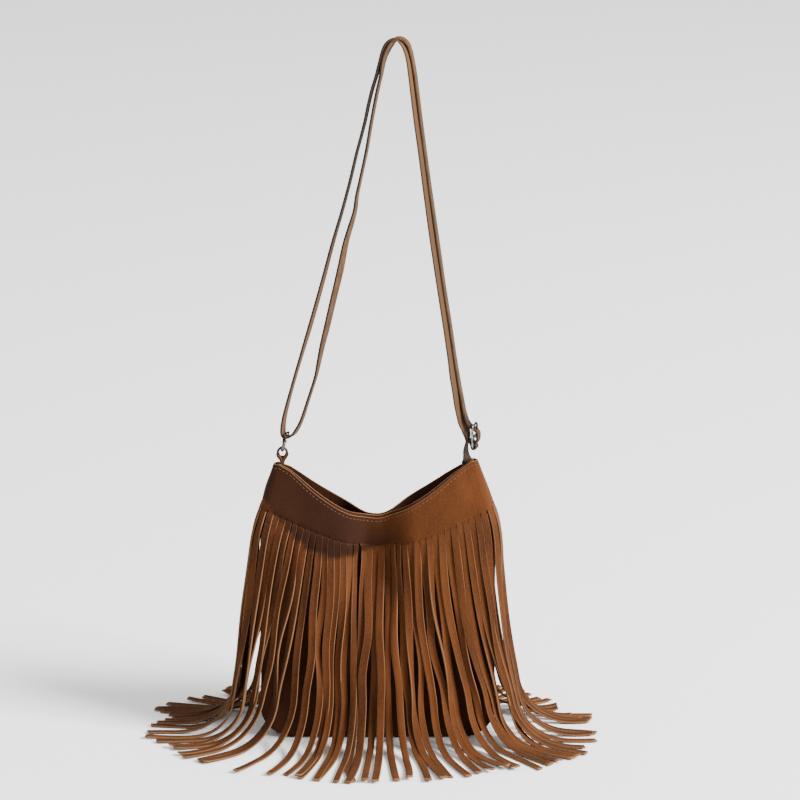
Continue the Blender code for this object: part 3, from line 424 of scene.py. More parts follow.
def suede_surface(tree, color, fibres):
    """Base colour, with fibres given as (scale, low, high, share, colour), and paler at its cut edges."""
    scale, low, high, share, fibre_color = fibres
    level = scale_value(tree, noise(tree, scale, 3.0).outputs["Fac"], low, high, 0.0, share)
    color = mix_colors(tree, level, color, fibre_color)
    edge = scale_value(tree, read_value(tree, "raw_edge"), 0.3, 1.0, 0.0, 0.9)
    return mix_colors(tree, edge, color, RAW_EDGE_COLOR)


def set_sheen(shader, sheen, roughness, tint, gloss):
    """Numbers of the soft sheen and the weak gloss that brushed suede has all over."""
    shader.inputs["Sheen Weight"].default_value = sheen
    shader.inputs["Sheen Roughness"].default_value = roughness
    shader.inputs["Sheen Tint"].default_value = (*tint, 1.0)
    shader.inputs["Specular IOR Level"].default_value = gloss


def pouch_finish():
    """Dark brown suede, brushed in patches."""
    made, shader = make_shader("pouch_suede", 0.92)
    tree = made.node_tree
    patches = noise(tree, 26.0, 4.0).outputs["Fac"]
    color = ramp(tree, patches, [(0.34, POUCH_COLORS[0]), (0.66, POUCH_COLORS[1])])
    color = suede_surface(tree, color, (900.0, 0.35, 0.75, 0.35, POUCH_FIBRE_COLOR))
    tree.links.new(color, shader.inputs["Base Color"])
    set_sheen(shader, 0.04, 0.6, (0.75, 0.42, 0.22), 0.12)
    nap_bump(tree, shader, 0.45, ((60.0, 0.6), (500.0, 0.4), (1600.0, 0.35)))
    return made


pouch_suede = pouch_finish()


def panel_grid(side, rows=72, columns=131):
    """Panel's outer and inner grids: rows up from the base seam to the rim, columns from seam to seam."""
    start = math.pi / 4 + PIECE_GAP / SEAM
    first = SEAM * (1.0 - math.cos(start))
    turned = first + (SEAM - first) * np.array([0.0, 0.2, 0.5, 1.0])
    low_rows = np.concatenate([turned, np.linspace(0.0065, BASE_CORNER, 10)])
    spread = np.linspace(-1.0, 1.0, columns - 6)
    share = np.concatenate([[-1.0] * 3, spread, [1.0] * 3])
    inset = np.concatenate([turned[:3], np.full(columns - 6, turned[3]), turned[2::-1]]) - first
    top = rim_height(share) + RIM_RISE * (1.0 - share ** 4)
    up = np.append(np.linspace(0.0, 0.996, rows - len(low_rows))[1:], 1.0)[:, None]
    low = np.repeat(low_rows[:, None], columns, axis=1)
    z = np.concatenate([low, BASE_CORNER + (top - BASE_CORNER) * up])
    radius = seam_radius(z)
    edge = radius * (1.0 - np.cos(math.pi / 4 + PIECE_GAP / radius))
    x = share * (outline_half_width(z, edge) - inset * radius / SEAM)
    outer = np.stack([x, -panel_face(x, z, side), z], axis=-1)
    inner = outer - face_normals(lambda a, b: panel_face(a, b, side), x, z) * SUEDE
    return settle(outer * [1, -side, 1]), settle(inner * [1, -side, 1])


def rim_values(rows, columns):
    """Number that is 1 along the cut rim of a shell, fading over its last row."""
    sheet = np.zeros((rows, columns))
    sheet[-1] = 0.3
    ring = np.zeros(2 * (rows + columns) - 4)
    ring[columns + rows - 2:2 * columns + rows - 2] = 1.0
    return np.concatenate([sheet.reshape(-1), sheet.reshape(-1), ring])


for panel_name, panel_side in (("front_panel", -1), ("back_panel", 1)):
    panel_outer, panel_inner = panel_grid(panel_side)
    panel_values = {"raw_edge": rim_values(*panel_outer.shape[:2])}
    panel_shell = shell(panel_outer, panel_inner, 0.2)
    panel = make_piece(panel_name + "_suede", *panel_shell, pouch_suede, panel_values)
    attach(panel, "bag")
    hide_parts(panel_name)


def gusset_grid():
    """Gusset's grids: one turned section carried down a side, round the corner, across and up."""
    inner = HALF_WIDTH - BASE_CORNER
    high = np.linspace(BAG_HEIGHT, BASE_CORNER, 60)
    left = np.stack([-pouch_half_width(high), high], axis=1)
    angle = np.linspace(0.0, math.pi / 2, 17)[1:]
    corner = np.stack([-inner - BASE_CORNER * np.cos(angle), BASE_CORNER * (1.0 - np.sin(angle))], axis=1)
    base = np.stack([np.linspace(-inner, 0.0, 14)[1:], np.zeros(13)], axis=1)
    half = np.concatenate([left, corner, base])
    path = np.concatenate([half, half[-2::-1] * [-1, 1]])
    along = np.gradient(path, axis=0)
    along /= np.linalg.norm(along, axis=1, keepdims=True)
    normal = np.stack([-along[:, 1], along[:, 0]], axis=1)[:, None, :]
    z = path[:, 1]
    seam = seam_radius(z)[:, None]
    half_depth = gusset_half(z)[:, None]
    end = math.pi / 4 - PIECE_GAP / seam
    turn = np.array([1.0, 0.75, 0.5, 0.25, 0.0]) * end
    turned_in = seam * (1.0 - np.cos(turn))
    turned_out = half_depth - seam * (1.0 - np.sin(turn))
    flat = np.linspace(1.0, -1.0, 11)[1:-1] * (half_depth - seam)
    y = np.concatenate([-turned_out, -flat, turned_out[:, ::-1]], axis=1)
    into = np.concatenate([turned_in, np.zeros_like(flat), turned_in[:, ::-1]], axis=1)
    tilt = np.concatenate([-turn, np.zeros_like(flat), turn[:, ::-1]], axis=1)
    across = np.linspace(-1.0, 1.0, y.shape[1])[None, :]
    hollow = GUSSET_HOLLOW * (1.0 - across ** 2) * ease((z[:, None] - 0.02) / 0.06)
    into = into + hollow * (1.0 - 0.7 * ease(z[:, None] / 0.2))
    depth = SUEDE * np.cos(tilt)

    def face(into, y):
        return settle(np.stack(
            [path[:, :1] + normal[..., 0] * into, y, path[:, 1:] + normal[..., 1] * into], axis=-1))

    return face(into, y), face(into + depth, y - SUEDE * np.sin(tilt))


gusset = make_piece("gusset_suede", *shell(*gusset_grid()), pouch_suede)
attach(gusset, "bag")
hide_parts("gusset")


# Fringe
# Two cut pieces of lighter brown suede, one round the front and one round the back. Each is a plain
# band under the rim whose lower edge is slit into long strips, which hang down and splay on the floor.

STRIPS = 42
LANE = np.array([-0.5, -0.4, 0.0, 0.4, 0.5])
ACROSS = len(LANE)
FRONT_SHARE = 0.84
ARC_SHARE = 0.92
SLIT_BASE = BAG_HEIGHT - MOUTH_DIP - 0.0205
SLIT_RISE = 0.036
SLIT_KERF = 0.0004
YOKE_CLEAR = 0.0005
CREST_RISE = 0.0003
STRIP_BEND = 0.040
STRIP_FLARE = 0.14
TIP_SCATTER = 0.0022
PARTING_X = -0.0128
YOKE_ROWS = 16
HANG_STEPS = 30
CURVE_STEPS = 14
FLOOR_STEPS = 8
FRINGE_COLORS = ((0.0165, 0.0040, 0.0008), (0.0420, 0.0112, 0.0024), (0.0720, 0.0215, 0.0052))
FRINGE_FIBRE_COLOR = (0.095, 0.031, 0.0068)
YOKE_TONE = 0.55
TONE_FADE = 0.004
# Painted shadow on the front yoke: its dark colour, the lowest point of its lower arc, how steeply that arc
# rises to the left and right, and the softness of its edge.
PAINTED_SHADOW_COLOR = (0.0085, 0.0021, 0.0006)
SHADOW_LOW_X = -0.030
SHADOW_LOW_Z = 0.1415
SHADOW_ARC_LEFT = 14.0
SHADOW_ARC_RIGHT = 3.4
SHADOW_EDGE = 0.0022

# Where the strips' tips lie on the floor, in millimetres, from the middle of the left side round the
# front to the middle of the right side, and the same from left to right round the back.
FRONT_TIPS = ((-173, -3), (-178, -15), (-171, -34), (-158, -44), (-154, -56), (-145, -73), (-135, -77),
              (-125, -88), (-87, -108), (-61, -107), (-55, -113), (-50, -119), (-41, -121), (-31, -124),
              (-22, -124), (-12, -124), (-2, -122), (25, -117), (38, -120), (45, -119), (55, -111),
              (71, -107), (89, -103), (94, -98), (119, -94), (127, -86), (136, -77), (148, -75),
              (153, -66), (160, -46), (164, -26), (168, -15))
BACK_TIPS = ((-168, 8), (-155, 13), (-166, 29), (-171, 43), (-142, 67), (-118, 84), (-92, 99), (-60, 108),
             (-30, 116), (2, 118), (33, 114), (66, 108), (92, 96), (112, 80), (130, 62), (143, 32),
             (161, 22), (159, 10))


def half_section(q, z, offset, side):
    """Point on half the pouch's girth at share q, -1 to 1, moved out: front, corner, half the side."""
    sign = np.sign(q + 1e-12)
    share = np.abs(q)
    offset = offset + 0.0006 * np.maximum(0.0, 1.0 - ((share - (FRONT_SHARE + ARC_SHARE) / 2) / 0.1) ** 2)
    width = pouch_half_width(z)
    half = gusset_half(z)
    seam = seam_radius(z)
    front_x = share / FRONT_SHARE * (width - seam)
    slope = face_normals(lambda a, b: panel_depth(a, b), sign * front_x, z)[..., 1]
    front_y = -(panel_depth(front_x, z) - sag(sign * front_x, z, side) * 0.6 - offset / slope)
    angle = np.clip((share - FRONT_SHARE) / (ARC_SHARE - FRONT_SHARE), 0.0, 1.0) * math.pi / 2
    arc_x = width - seam + (seam + offset) * np.sin(angle)
    arc_y = -(half - seam) - (seam + offset) * np.cos(angle)
    down = np.clip((share - ARC_SHARE) / (1.0 - ARC_SHARE), 0.0, 1.0)
    side_y = -(half - seam) * (1.0 - down) - PIECE_GAP * down
    x = np.where(share <= FRONT_SHARE, front_x, np.where(share <= ARC_SHARE, arc_x, width + offset))
    y = np.where(share <= FRONT_SHARE, front_y, np.where(share <= ARC_SHARE, arc_y, side_y))
    return np.stack([sign * x, y, z + 0 * x], axis=-1)


def slit_height(q):
    """Where the slits begin: lowest in the middle, rising to both sides by a power curve."""
    return SLIT_BASE + SLIT_RISE * np.abs(q) ** 1.2


def strip_shares():
    """Shares q of each strip's columns, spaced evenly as seen from outside, and the strips' pitch."""
    dense = np.linspace(-1.0, 1.0, 2001)
    line = half_section(dense, slit_height(dense), 0.0, -1)
    flat = np.abs(dense) <= FRONT_SHARE
    line[flat, 1] = line[flat, 1][0]
    length = np.concatenate([[0.0], np.cumsum(np.linalg.norm(np.diff(line[:, :2], axis=0), axis=1))])
    pitch = length[-1] / STRIPS
    left = np.arange(STRIPS)[:, None] * pitch + SLIT_KERF / 2
    place = left + (LANE[None, :] + 0.5) * (pitch - SLIT_KERF)
    place[0, 0] = 0.0
    place[-1, -1] = length[-1]
    return np.interp(place, length, dense), pitch


def unit(vectors):
    """Vectors over their own lengths."""
    return vectors / np.linalg.norm(vectors, axis=-1, keepdims=True)


def tip_places(tips, random):
    """Tips of all the strips, read evenly off the list of places and moved a little each."""
    tips = np.array(tips) / 1000.0
    place = np.linspace(0.0, len(tips) - 1.0, STRIPS)
    found = np.stack([np.interp(place, np.arange(len(tips)), tips[:, k]) for k in (0, 1)], axis=1)
    return found + random.normal(0.0, TIP_SCATTER, found.shape)


def strip_paths(q, tips, random, side):
    """Strips' centre lines: down the pouch, leaning outward, a quarter ellipse, then along the floor."""
    top = slit_height(q)
    bend = STRIP_BEND * random.uniform(0.80, 1.12, STRIPS)
    h = np.linspace(0.0, 1.0, HANG_STEPS)[None, :] ** 1.15
    z = top[:, None] + (bend - top)[:, None] * h
    layer = (np.arange(STRIPS) % 2) * 0.9 + random.uniform(0.0, 0.7, STRIPS)
    sideways = ease((np.abs(q) - 0.70) / 0.22)
    rightward = ease((q + 0.1) / 0.5)
    leftward = ease((-q - 0.15) / 0.5)
    close = (1.0 - 0.4 * sideways)[:, None]
    offset = YOKE_CLEAR + SUEDE / 2 + close * (0.0016 + 0.0017 * layer[:, None]) * ease(h * 7)
    path = half_section(np.repeat(q[:, None], HANG_STEPS, axis=1), z, offset, side)
    foot = path[:, -1, :2]
    lean = 0.25 + 0.03 * sideways + leftward * (0.04 - 0.11 * sideways)
    lean += rightward * (0.08 - 0.17 * sideways)
    reach = (tips - foot) * np.stack([lean, 0.10 + 0.14 * sideways], axis=1)
    bow = 1.35 - leftward * (0.35 - 0.15 * sideways) + rightward * (0.25 + 0.75 * sideways)
    path[:, :, :2] += reach[:, None, :] * (h ** bow[:, None])[..., None]
    parting = path[:, :1, 0] - PARTING_X
    apart = 0.0015 * np.exp(-np.abs(parting) / 0.007) * bump_at(h, 0.12, 0.11)
    path[..., 0] += np.sign(parting) * apart
    phase = random.uniform(0.0, 2 * math.pi, (STRIPS, 2))
    waves = random.uniform(0.6, 1.6, (STRIPS, 1))
    sway = np.sin(h * waves * 2 * math.pi + phase[:, :1]) * h * 0.0022
    sway += np.sin(h * 9.0 + phase[:, 1:]) * h * 0.0007
    path[..., 0] += sway * (1.0 - 0.6 * sideways)[:, None]
    path[..., 1] -= np.abs(sway) * 0.5 * (1.0 - sideways)[:, None]
    foot = path[:, -1, :2]
    heading = tips - foot
    distance = np.linalg.norm(heading, axis=1, keepdims=True)
    heading = heading / distance
    rest = SUEDE / 2 + PIECE_GAP + 0.0004 * layer[:, None]
    turn = np.minimum(bend[:, None] * 1.02, distance * 0.84)
    angle = np.linspace(0.0, math.pi / 2, CURVE_STEPS + 1)[None, 1:]
    out = (turn * (1.0 - np.cos(angle)))[..., None]
    curve_z = bend[:, None] - (bend[:, None] - rest) * np.sin(angle)
    curve = np.concatenate([foot[:, None, :] + heading[:, None, :] * out, curve_z[..., None]], axis=-1)
    run = np.linspace(0.0, 1.0, FLOOR_STEPS + 1)[None, 1:]
    flat = turn + (distance - turn) * run
    hook = random.normal(0.0, 0.05, (STRIPS, 1)) * (distance - turn) * run ** 2
    aside = np.stack([-heading[:, 1], heading[:, 0]], axis=1)
    ground = foot[:, None, :] + heading[:, None, :] * flat[..., None]
    ground = ground + aside[:, None, :] * hook[..., None]
    lift = rest + np.maximum(0.0, random.normal(0.0005, 0.0012, (STRIPS, 1))) * run ** 3
    ground = np.concatenate([ground, lift[..., None]], axis=-1)
    path = np.concatenate([path, curve, ground], axis=1)
    for smoothing in range(4):
        path[:, 2:-1] = (path[:, 1:-2] + 2 * path[:, 2:-1] + path[:, 3:]) / 4
    return path, heading


def strip_twist(steps, random):
    """How far each strip turns about its own length: most a little, some edge-on halfway down."""
    s = np.linspace(0.0, 1.0, steps)[None, :]
    strong = random.uniform(-1.0, 1.0, (STRIPS, 1)) ** 3 * math.radians(95)
    centre = random.uniform(0.30, 0.62, (STRIPS, 1))
    wide = random.uniform(0.12, 0.24, (STRIPS, 1))
    slow = np.sin(s * 7.0 + random.uniform(0.0, 6.3, (STRIPS, 1))) * math.radians(9)
    twist = strong * bump_at(s, centre, wide) + slow
    floor = ease((s * steps - HANG_STEPS) / 10.0)
    return twist * ease(s * 9) * (1.0 - floor)


def tube_faces(rings):
    """Four-sided faces between neighbours in a row of closed rings of point numbers."""
    after = np.roll(rings, -1, axis=-1)
    corners = (rings[..., :-1, :], after[..., :-1, :], after[..., 1:, :], rings[..., 1:, :])
    return np.stack(corners, axis=-1).reshape(-1, 4)


def yoke_grids(columns, side):
    """Yoke's outer and inner grids from the slits up to the rim, and heights over the base and slits."""
    low = slit_height(columns)
    high = rim_height(np.clip(columns / FRONT_SHARE, -1.0, 1.0))
    up = np.append(np.linspace(0.0, 0.985, YOKE_ROWS - 1), 1.0)[:, None]
    z = low + (high - low) * up
    q = np.repeat(columns[None, :], YOKE_ROWS, axis=0)
    outer = half_section(q, z, YOKE_CLEAR + SUEDE, side)
    inner = half_section(q, z, YOKE_CLEAR, side)
    return outer, inner, z, z - low


def strip_rings(shares, width, slit_row, tips, random, side):
    """Strips' profiles along their centre lines: a flat bar, turned, curled, widened, cut at its tip."""
    path, heading = strip_paths(shares.mean(axis=1), tip_places(tips, random), random, side)
    steps = path.shape[1]
    along = unit(np.gradient(path, axis=1))
    pouch_side = slit_row.reshape(STRIPS, ACROSS, 3)
    pouch_side = pouch_side[:, -1] - pouch_side[:, 0]
    pouch_side[:, 2] = 0.0
    pouch_side = unit(pouch_side)[:, None, :]
    floor_side = np.stack([-heading[:, 1], heading[:, 0], 0 * heading[:, 0]], axis=1)[:, None, :]
    top = path[:, :1, 2]
    turned = ease((top - path[..., 2]) / (top - STRIP_BEND * 0.6))[..., None]
    across = pouch_side * (1.0 - turned) + floor_side * turned
    across = unit(across - along * np.sum(across * along, axis=-1, keepdims=True))
    face = np.cross(across, along)
    twist = strip_twist(steps, random)[..., None]
    cos, sin = np.cos(twist), np.sin(twist)
    across, face = across * cos + face * sin, face * cos - across * sin
    path = path + np.abs(sin) * width * 0.30 * np.array([0.0, -1.0, 0.0]) * (1.0 - turned * 0.5)

    curl = random.uniform(-0.35, 0.5, (STRIPS, 1)) * SUEDE * ease(np.linspace(0.0, 6.0, steps))[None, :]
    taper = width * (1.0 + random.normal(0.0, 0.05, (STRIPS, 1)))
    taper = taper * (1.0 + STRIP_FLARE * ease(np.linspace(0.0, 4.0, steps)))
    profile_x = np.concatenate([LANE, [0.5], LANE[::-1], [-0.5]])
    bow = 1.0 - 4.0 * profile_x ** 2
    level = np.concatenate([np.full(ACROSS, 0.5), [0.0], np.full(ACROSS, -0.5), [0.0]])
    edge_out = np.zeros(len(profile_x))
    edge_out[[ACROSS, -1]] = 0.28, -0.28
    sideways = taper[..., None] * profile_x + SUEDE * edge_out
    thick = SUEDE * level + curl[..., None] * bow
    ring = path[:, :, None, :] + across[:, :, None, :] * sideways[:, :, :, None]
    ring = ring + face[:, :, None, :] * thick[..., None]
    cut = random.normal(0.0, 0.25, (STRIPS, 1)) * width * profile_x
    ring[:, -1] += along[:, -1, None, :] * cut[..., None]
    return ring[:, 1:]


def fringe_faces(rows, wide, steps, sides):
    """Faces of the yoke's two grids, crest, slit ends and sides, and of the strips' tubes and tips."""
    count = rows * wide
    yoke_outer = np.arange(wide).reshape(STRIPS, ACROSS)
    yoke_inner = yoke_outer + count
    right_edge = 2 * count + np.arange(STRIPS)
    left_edge = right_edge + STRIPS
    crest = 2 * count + 2 * STRIPS + np.arange(wide)
    first = np.concatenate([
        yoke_outer, right_edge[:, None], yoke_inner[:, ::-1], left_edge[:, None]], axis=1)
    rest = crest[-1] + 1 + np.arange(STRIPS * steps * sides).reshape(STRIPS, steps, sides)
    rings = np.concatenate([first[:, None, :], rest], axis=1)
    quads = grid_faces(rows, wide)
    last_row = (rows - 1) * wide + np.arange(wide)
    front_crest = np.stack([last_row[:-1], last_row[1:], crest[1:], crest[:-1]], axis=1)
    back_crest = np.stack([crest[:-1], crest[1:], last_row[1:] + count, last_row[:-1] + count], axis=1)
    kerf = np.stack([yoke_outer[:-1, -1], yoke_outer[1:, 0], left_edge[1:], yoke_inner[1:, 0],
                     yoke_inner[:-1, -1], right_edge[:-1]], axis=1)
    faces = np.concatenate([
        quads, (quads + count)[:, ::-1], tube_faces(rings), front_crest, back_crest]).tolist()
    faces += rings[:, -1].tolist() + kerf.tolist()
    for column, edge in ((0, left_edge[0]), (wide - 1, right_edge[-1])):
        a = np.arange(rows) * wide + column
        b = a + count
        faces.append([int(a[0]), int(a[1]), int(b[1]), int(b[0]), int(edge)])
        faces += np.stack([a[1:-2], a[2:-1], b[2:-1], b[1:-2]], axis=1).tolist()
        faces.append([int(a[-2]), int(a[-1]), int(crest[column]), int(b[-1]), int(b[-2])])
    return faces


def fringe_values(shares, outer, z, over_slit, ring, random, side):
    """Numbers at the fringe's points: each strip's own tone with painted side shade, its pale cut edges and
    the front's painted shadow.
    """
    rows, wide = z.shape
    steps, sides = ring.shape[1:3]
    joints = 2 * STRIPS + wide
    q = shares.mean(axis=1)
    # Painted shade and light in each strip's tone: strips at the far left and far right are darkened, and
    # the tone rises from left to right as painted light from the right; the rest of it is each strip's own
    # tone, at random.
    painted_side_shade = 0.26 * ease((-q - 0.55) / 0.3) + 0.22 * ease((q - 0.82) / 0.1)
    tone = random.uniform(0.0, 1.0, STRIPS) * 0.8 + 0.36 * ease(q + 0.7) - 0.30 - painted_side_shade
    fade = ease((TONE_FADE - over_slit) / TONE_FADE)
    yoke_tone = YOKE_TONE + (np.repeat(tone, ACROSS)[None, :] - YOKE_TONE) * fade
    yoke_tone = yoke_tone.reshape(-1)
    rim = np.zeros((rows, wide))
    rim[-1] = 0.3
    rim = rim.reshape(-1)
    strip_edge = np.zeros((STRIPS, steps, sides))
    strip_edge[..., [ACROSS, sides - 1]] = 0.6
    strip_edge[..., [0, ACROSS - 1, ACROSS + 1, sides - 2]] = 0.45
    strip_edge[:, -1] = 0.6
    # Painted shadow: how strongly each point of the yoke and the strips' tops is darkened.
    painted_shadow = painted_shadow_mask(outer[..., 0], z, side).reshape(-1)
    strip_painted_shadow = painted_shadow_mask(ring[..., 0], ring[..., 2], side).reshape(-1)
    strip_tone = np.repeat(tone, steps * sides)
    return {"tone": np.concatenate([yoke_tone, yoke_tone, np.full(joints, 0.5), strip_tone]),
            "raw_edge": np.concatenate([rim, rim, np.ones(joints), strip_edge.reshape(-1)]),
            "painted_shadow": np.concatenate([painted_shadow, np.zeros(len(painted_shadow) + joints), strip_painted_shadow])}


def fringe_piece(name, side, tips, seed, finish):
    """Yoke and strips as one closed mesh: grid columns of the yoke run on into the strips' profiles."""
    random = np.random.default_rng(seed)
    shares, pitch = strip_shares()
    outer, inner, z, over_slit = yoke_grids(shares.reshape(-1), side)
    ring = strip_rings(shares, pitch - SLIT_KERF, outer[0], tips, random, side)
    slit_row = ((outer[0] + inner[0]) / 2).reshape(STRIPS, ACROSS, 3)
    crest = (outer[-1] + inner[-1]) / 2 + [0.0, 0.0, CREST_RISE]
    points = np.concatenate([outer.reshape(-1, 3), inner.reshape(-1, 3), slit_row[:, -1], slit_row[:, 0],
                             crest, ring.reshape(-1, 3)])
    faces = fringe_faces(*z.shape, *ring.shape[1:3])
    values = fringe_values(shares, outer, z, over_slit, ring, random, side)
    return make_piece(name, settle(points * [1, -side, 1]), faces, finish, values)


def painted_shadow_mask(x, z, side):
    """Painted shadow on the front: dark left of the middle, down to an arc just below the slits; the back
    has none.
    """
    if side > 0:
        return 0.0 * x
    from_low = x - SHADOW_LOW_X
    arc = SHADOW_LOW_Z + np.where(from_low < 0.0, SHADOW_ARC_LEFT, SHADOW_ARC_RIGHT) * from_low ** 2
    right = ease((0.030 - x + 0.8 * (0.160 - z)) / 0.048)
    corner = 1.0 - 0.12 * ease((-x - 0.052) / 0.022)
    return ease((z - arc) / SHADOW_EDGE + 0.5) * right * corner


def fringe_finish():
    """Lighter brown suede in three tones, pale at its cut edges, with a painted shadow over the front yoke.
    """
    made, shader = make_shader("fringe_suede", 0.9)
    tree = made.node_tree
    patches = noise(tree, 34.0, 3.0, (1.0, 1.0, 0.45)).outputs["Fac"]
    mixed = add_node(tree, "ShaderNodeMath", operation="MULTIPLY_ADD")
    tree.links.new(read_value(tree, "tone"), mixed.inputs[0])
    mixed.inputs[1].default_value = 0.45
    tree.links.new(scale_value(tree, patches, 0.3, 0.7, 0.0, 0.6), mixed.inputs[2])
    color = ramp(tree, mixed.outputs["Value"], [
        (0.05, FRINGE_COLORS[0]), (0.50, FRINGE_COLORS[1]), (0.98, FRINGE_COLORS[2])])
    color = suede_surface(tree, color, (1100.0, 0.4, 0.8, 0.5, FRINGE_FIBRE_COLOR))
    # Painted shadow: the front yoke's left part is mixed towards a dark brown.
    dark = scale_value(tree, read_value(tree, "painted_shadow"), 0.0, 1.0, 0.0, 0.88)
    color = mix_colors(tree, dark, color, PAINTED_SHADOW_COLOR)
    tree.links.new(color, shader.inputs["Base Color"])
    set_sheen(shader, 0.05, 0.55, (0.85, 0.44, 0.18), 0.10)
    nap_bump(tree, shader, 0.5, ((120.0, 0.4), (600.0, 0.4), (1800.0, 0.4)))
    return made


fringe_suede = fringe_finish()
for fringe_name, fringe_side, fringe_tips, fringe_seed in (
        ("front_fringe", -1, FRONT_TIPS, 11), ("back_fringe", 1, BACK_TIPS, 29)):
    if fringe_side > 0:
        fringe_tips = [(x, -y) for x, y in fringe_tips]
    fringe = fringe_piece(fringe_name + "_suede", fringe_side, fringe_tips, fringe_seed, fringe_suede)
    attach(fringe, "bag")
    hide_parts(fringe_name)


# Rim stitching
# Each fringe piece is sewn to its panel just under the rim, with one row of short thread stitches that
# sink a little into the suede.

STITCH_LENGTH = 0.0023
STITCH_PITCH = 0.0033
STITCH_DOWN = 0.0023
THREAD_RADIUS = 0.0002
THREAD_COLOR = (0.080, 0.030, 0.011)


def measured(path):
    """Length along a path at each of its points."""
    return np.concatenate([[0.0], np.cumsum(np.linalg.norm(np.diff(path, axis=0), axis=1))])


def along_path(path, places, values=None):
    """Points of a path at given lengths along it, or other values kept at its points."""
    length = measured(path)
    read = path if values is None else values
    return np.stack([np.interp(places, length, read[:, k]) for k in range(3)], axis=1)


def sweep(path, across, profile, closed=False, scale=None):
    """Points and faces of a closed profile of (across, face) points, carried along a path."""
    path = np.asarray(path, dtype=float)
    if closed:
        tangent = unit(np.roll(path, -1, axis=0) - np.roll(path, 1, axis=0))
    else:
        tangent = unit(np.gradient(path, axis=0))
    side = np.broadcast_to(np.asarray(across, dtype=float), path.shape)
    side = unit(side - tangent * np.sum(side * tangent, axis=1, keepdims=True))
    face = np.cross(tangent, side)
    profile = np.asarray(profile, dtype=float)
    grow = np.ones(len(path)) if scale is None else np.asarray(scale)
    spread = side[:, None, :] * profile[None, :, :1] + face[:, None, :] * profile[None, :, 1:]
    points = path[:, None, :] + spread * grow[:, None, None]
    index = np.arange(len(path) * len(profile)).reshape(len(path), len(profile))
    if closed:
        return points.reshape(-1, 3), tube_faces(np.concatenate([index, index[:1]])).tolist()
    ends = [index[0, ::-1].tolist(), index[-1].tolist()]
    return points.reshape(-1, 3), tube_faces(index).tolist() + ends


def circle(radius, sides=20):
    """Points evenly round a circle."""
    angle = np.arange(sides) * 2 * math.pi / sides
    return np.stack([np.cos(angle), np.sin(angle)], axis=1) * radius


def join(parts):
    """One list of points and faces from several (points, faces) pairs, the faces counted on."""
    points = []
    faces = []
    for part_points, part_faces in parts:
        faces += [[corner + len(points) for corner in face] for face in part_faces]
        points += np.asarray(part_points).tolist()
    return points, faces


def stitch_row(line, normals):
    """Row of closed stitches along a line on a surface, each a bowed spindle sunk at both ends."""
    share = np.array([0.0, 0.06, 0.2, 0.5, 0.8, 0.94, 1.0])
    swell = np.array([0.15, 0.6, 0.92, 1.0, 0.92, 0.6, 0.15])
    rise = np.array([-1.3, -0.7, 0.2, 0.5, 0.2, -0.7, -1.3]) * THREAD_RADIUS
    pieces = []
    for start in np.arange(0.5 * STITCH_PITCH, measured(line)[-1] - STITCH_LENGTH, STITCH_PITCH):
        places = start + share * STITCH_LENGTH
        normal = unit(along_path(line, places, normals))
        path = along_path(line, places) + normal * rise[:, None]
        pieces.append(sweep(path, normal, circle(THREAD_RADIUS, 8), scale=swell))
    return join(pieces)


def thread_finish():
    """Plain waxed thread, one colour all over."""
    made, shader = make_shader("waxed_thread", 0.6)
    shader.inputs["Base Color"].default_value = (*THREAD_COLOR, 1.0)
    return made


thread = thread_finish()
for row_name, row_side in (("front_stitches", -1), ("back_stitches", 1)):
    row_share = np.linspace(-0.985, 0.985, 400)
    row_z = rim_height(np.clip(row_share / FRONT_SHARE, -1.0, 1.0)) - STITCH_DOWN
    row_line = half_section(row_share, row_z, YOKE_CLEAR + SUEDE, row_side)
    row_out = half_section(row_share, row_z, YOKE_CLEAR + 2 * SUEDE, row_side) - row_line
    row_line = settle(row_line * [1, -row_side, 1])
    row_out = row_out * [1, -row_side, 1]
    stitches = make_piece(row_name, *stitch_row(row_line, row_out), thread)
    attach(stitches, "bag")


# Magnetic snap
# Two thin nickel discs, each clinched through its panel: a socket with a well in the front panel and a
# stud with a nub in the back one.

SNAP_Z = 0.150
SNAP_RADIUS = 0.007
SOCKET_THICK = 0.0020
STUD_THICK = 0.0019
NUB_RADIUS = 0.0025
NUB_HEIGHT = 0.0010
BEVEL = 0.00035
CAP_RADIUS = 0.0008
# The same plated nickel in three brightnesses: the lit one for the snap and buckle frame, a darker copy
# that is painted shade for the hook and gate, and a far darker copy, painted shade, for the ring, eye and
# prong.
NICKEL_COLORS = ((0.035, 0.032, 0.028), (0.30, 0.29, 0.27))
HOOK_SHADED_COLORS = ((0.055, 0.051, 0.043), (0.120, 0.112, 0.097))
SHADED_NICKEL_COLORS = ((0.008, 0.006, 0.005), (0.045, 0.036, 0.030))
UP = np.array([0.0, 0.0, 1.0])


def nickel_finish(name, colors, smooth=0.24):
    """Plated nickel, a little uneven and worn."""
    made, shader = make_shader(name, smooth, 1.0)
    tree = made.node_tree
    wear = noise(tree, 420.0, 4.0).outputs["Fac"]
    color = ramp(tree, wear, [(0.30, colors[0]), (0.70, colors[1])])
    tree.links.new(color, shader.inputs["Base Color"])
    tree.links.new(scale_value(tree, wear, 0.3, 0.7, smooth + 0.18, smooth), shader.inputs["Roughness"])
    shader.inputs["Specular Tint"].default_value = (*colors[1], 1.0)
    bump = add_node(tree, "ShaderNodeBump", Strength=0.15, Distance=0.0001)
    tree.links.new(noise(tree, 1500.0, 3.0).outputs["Fac"], bump.inputs["Height"])
    tree.links.new(bump.outputs["Normal"], shader.inputs["Normal"])
    return made


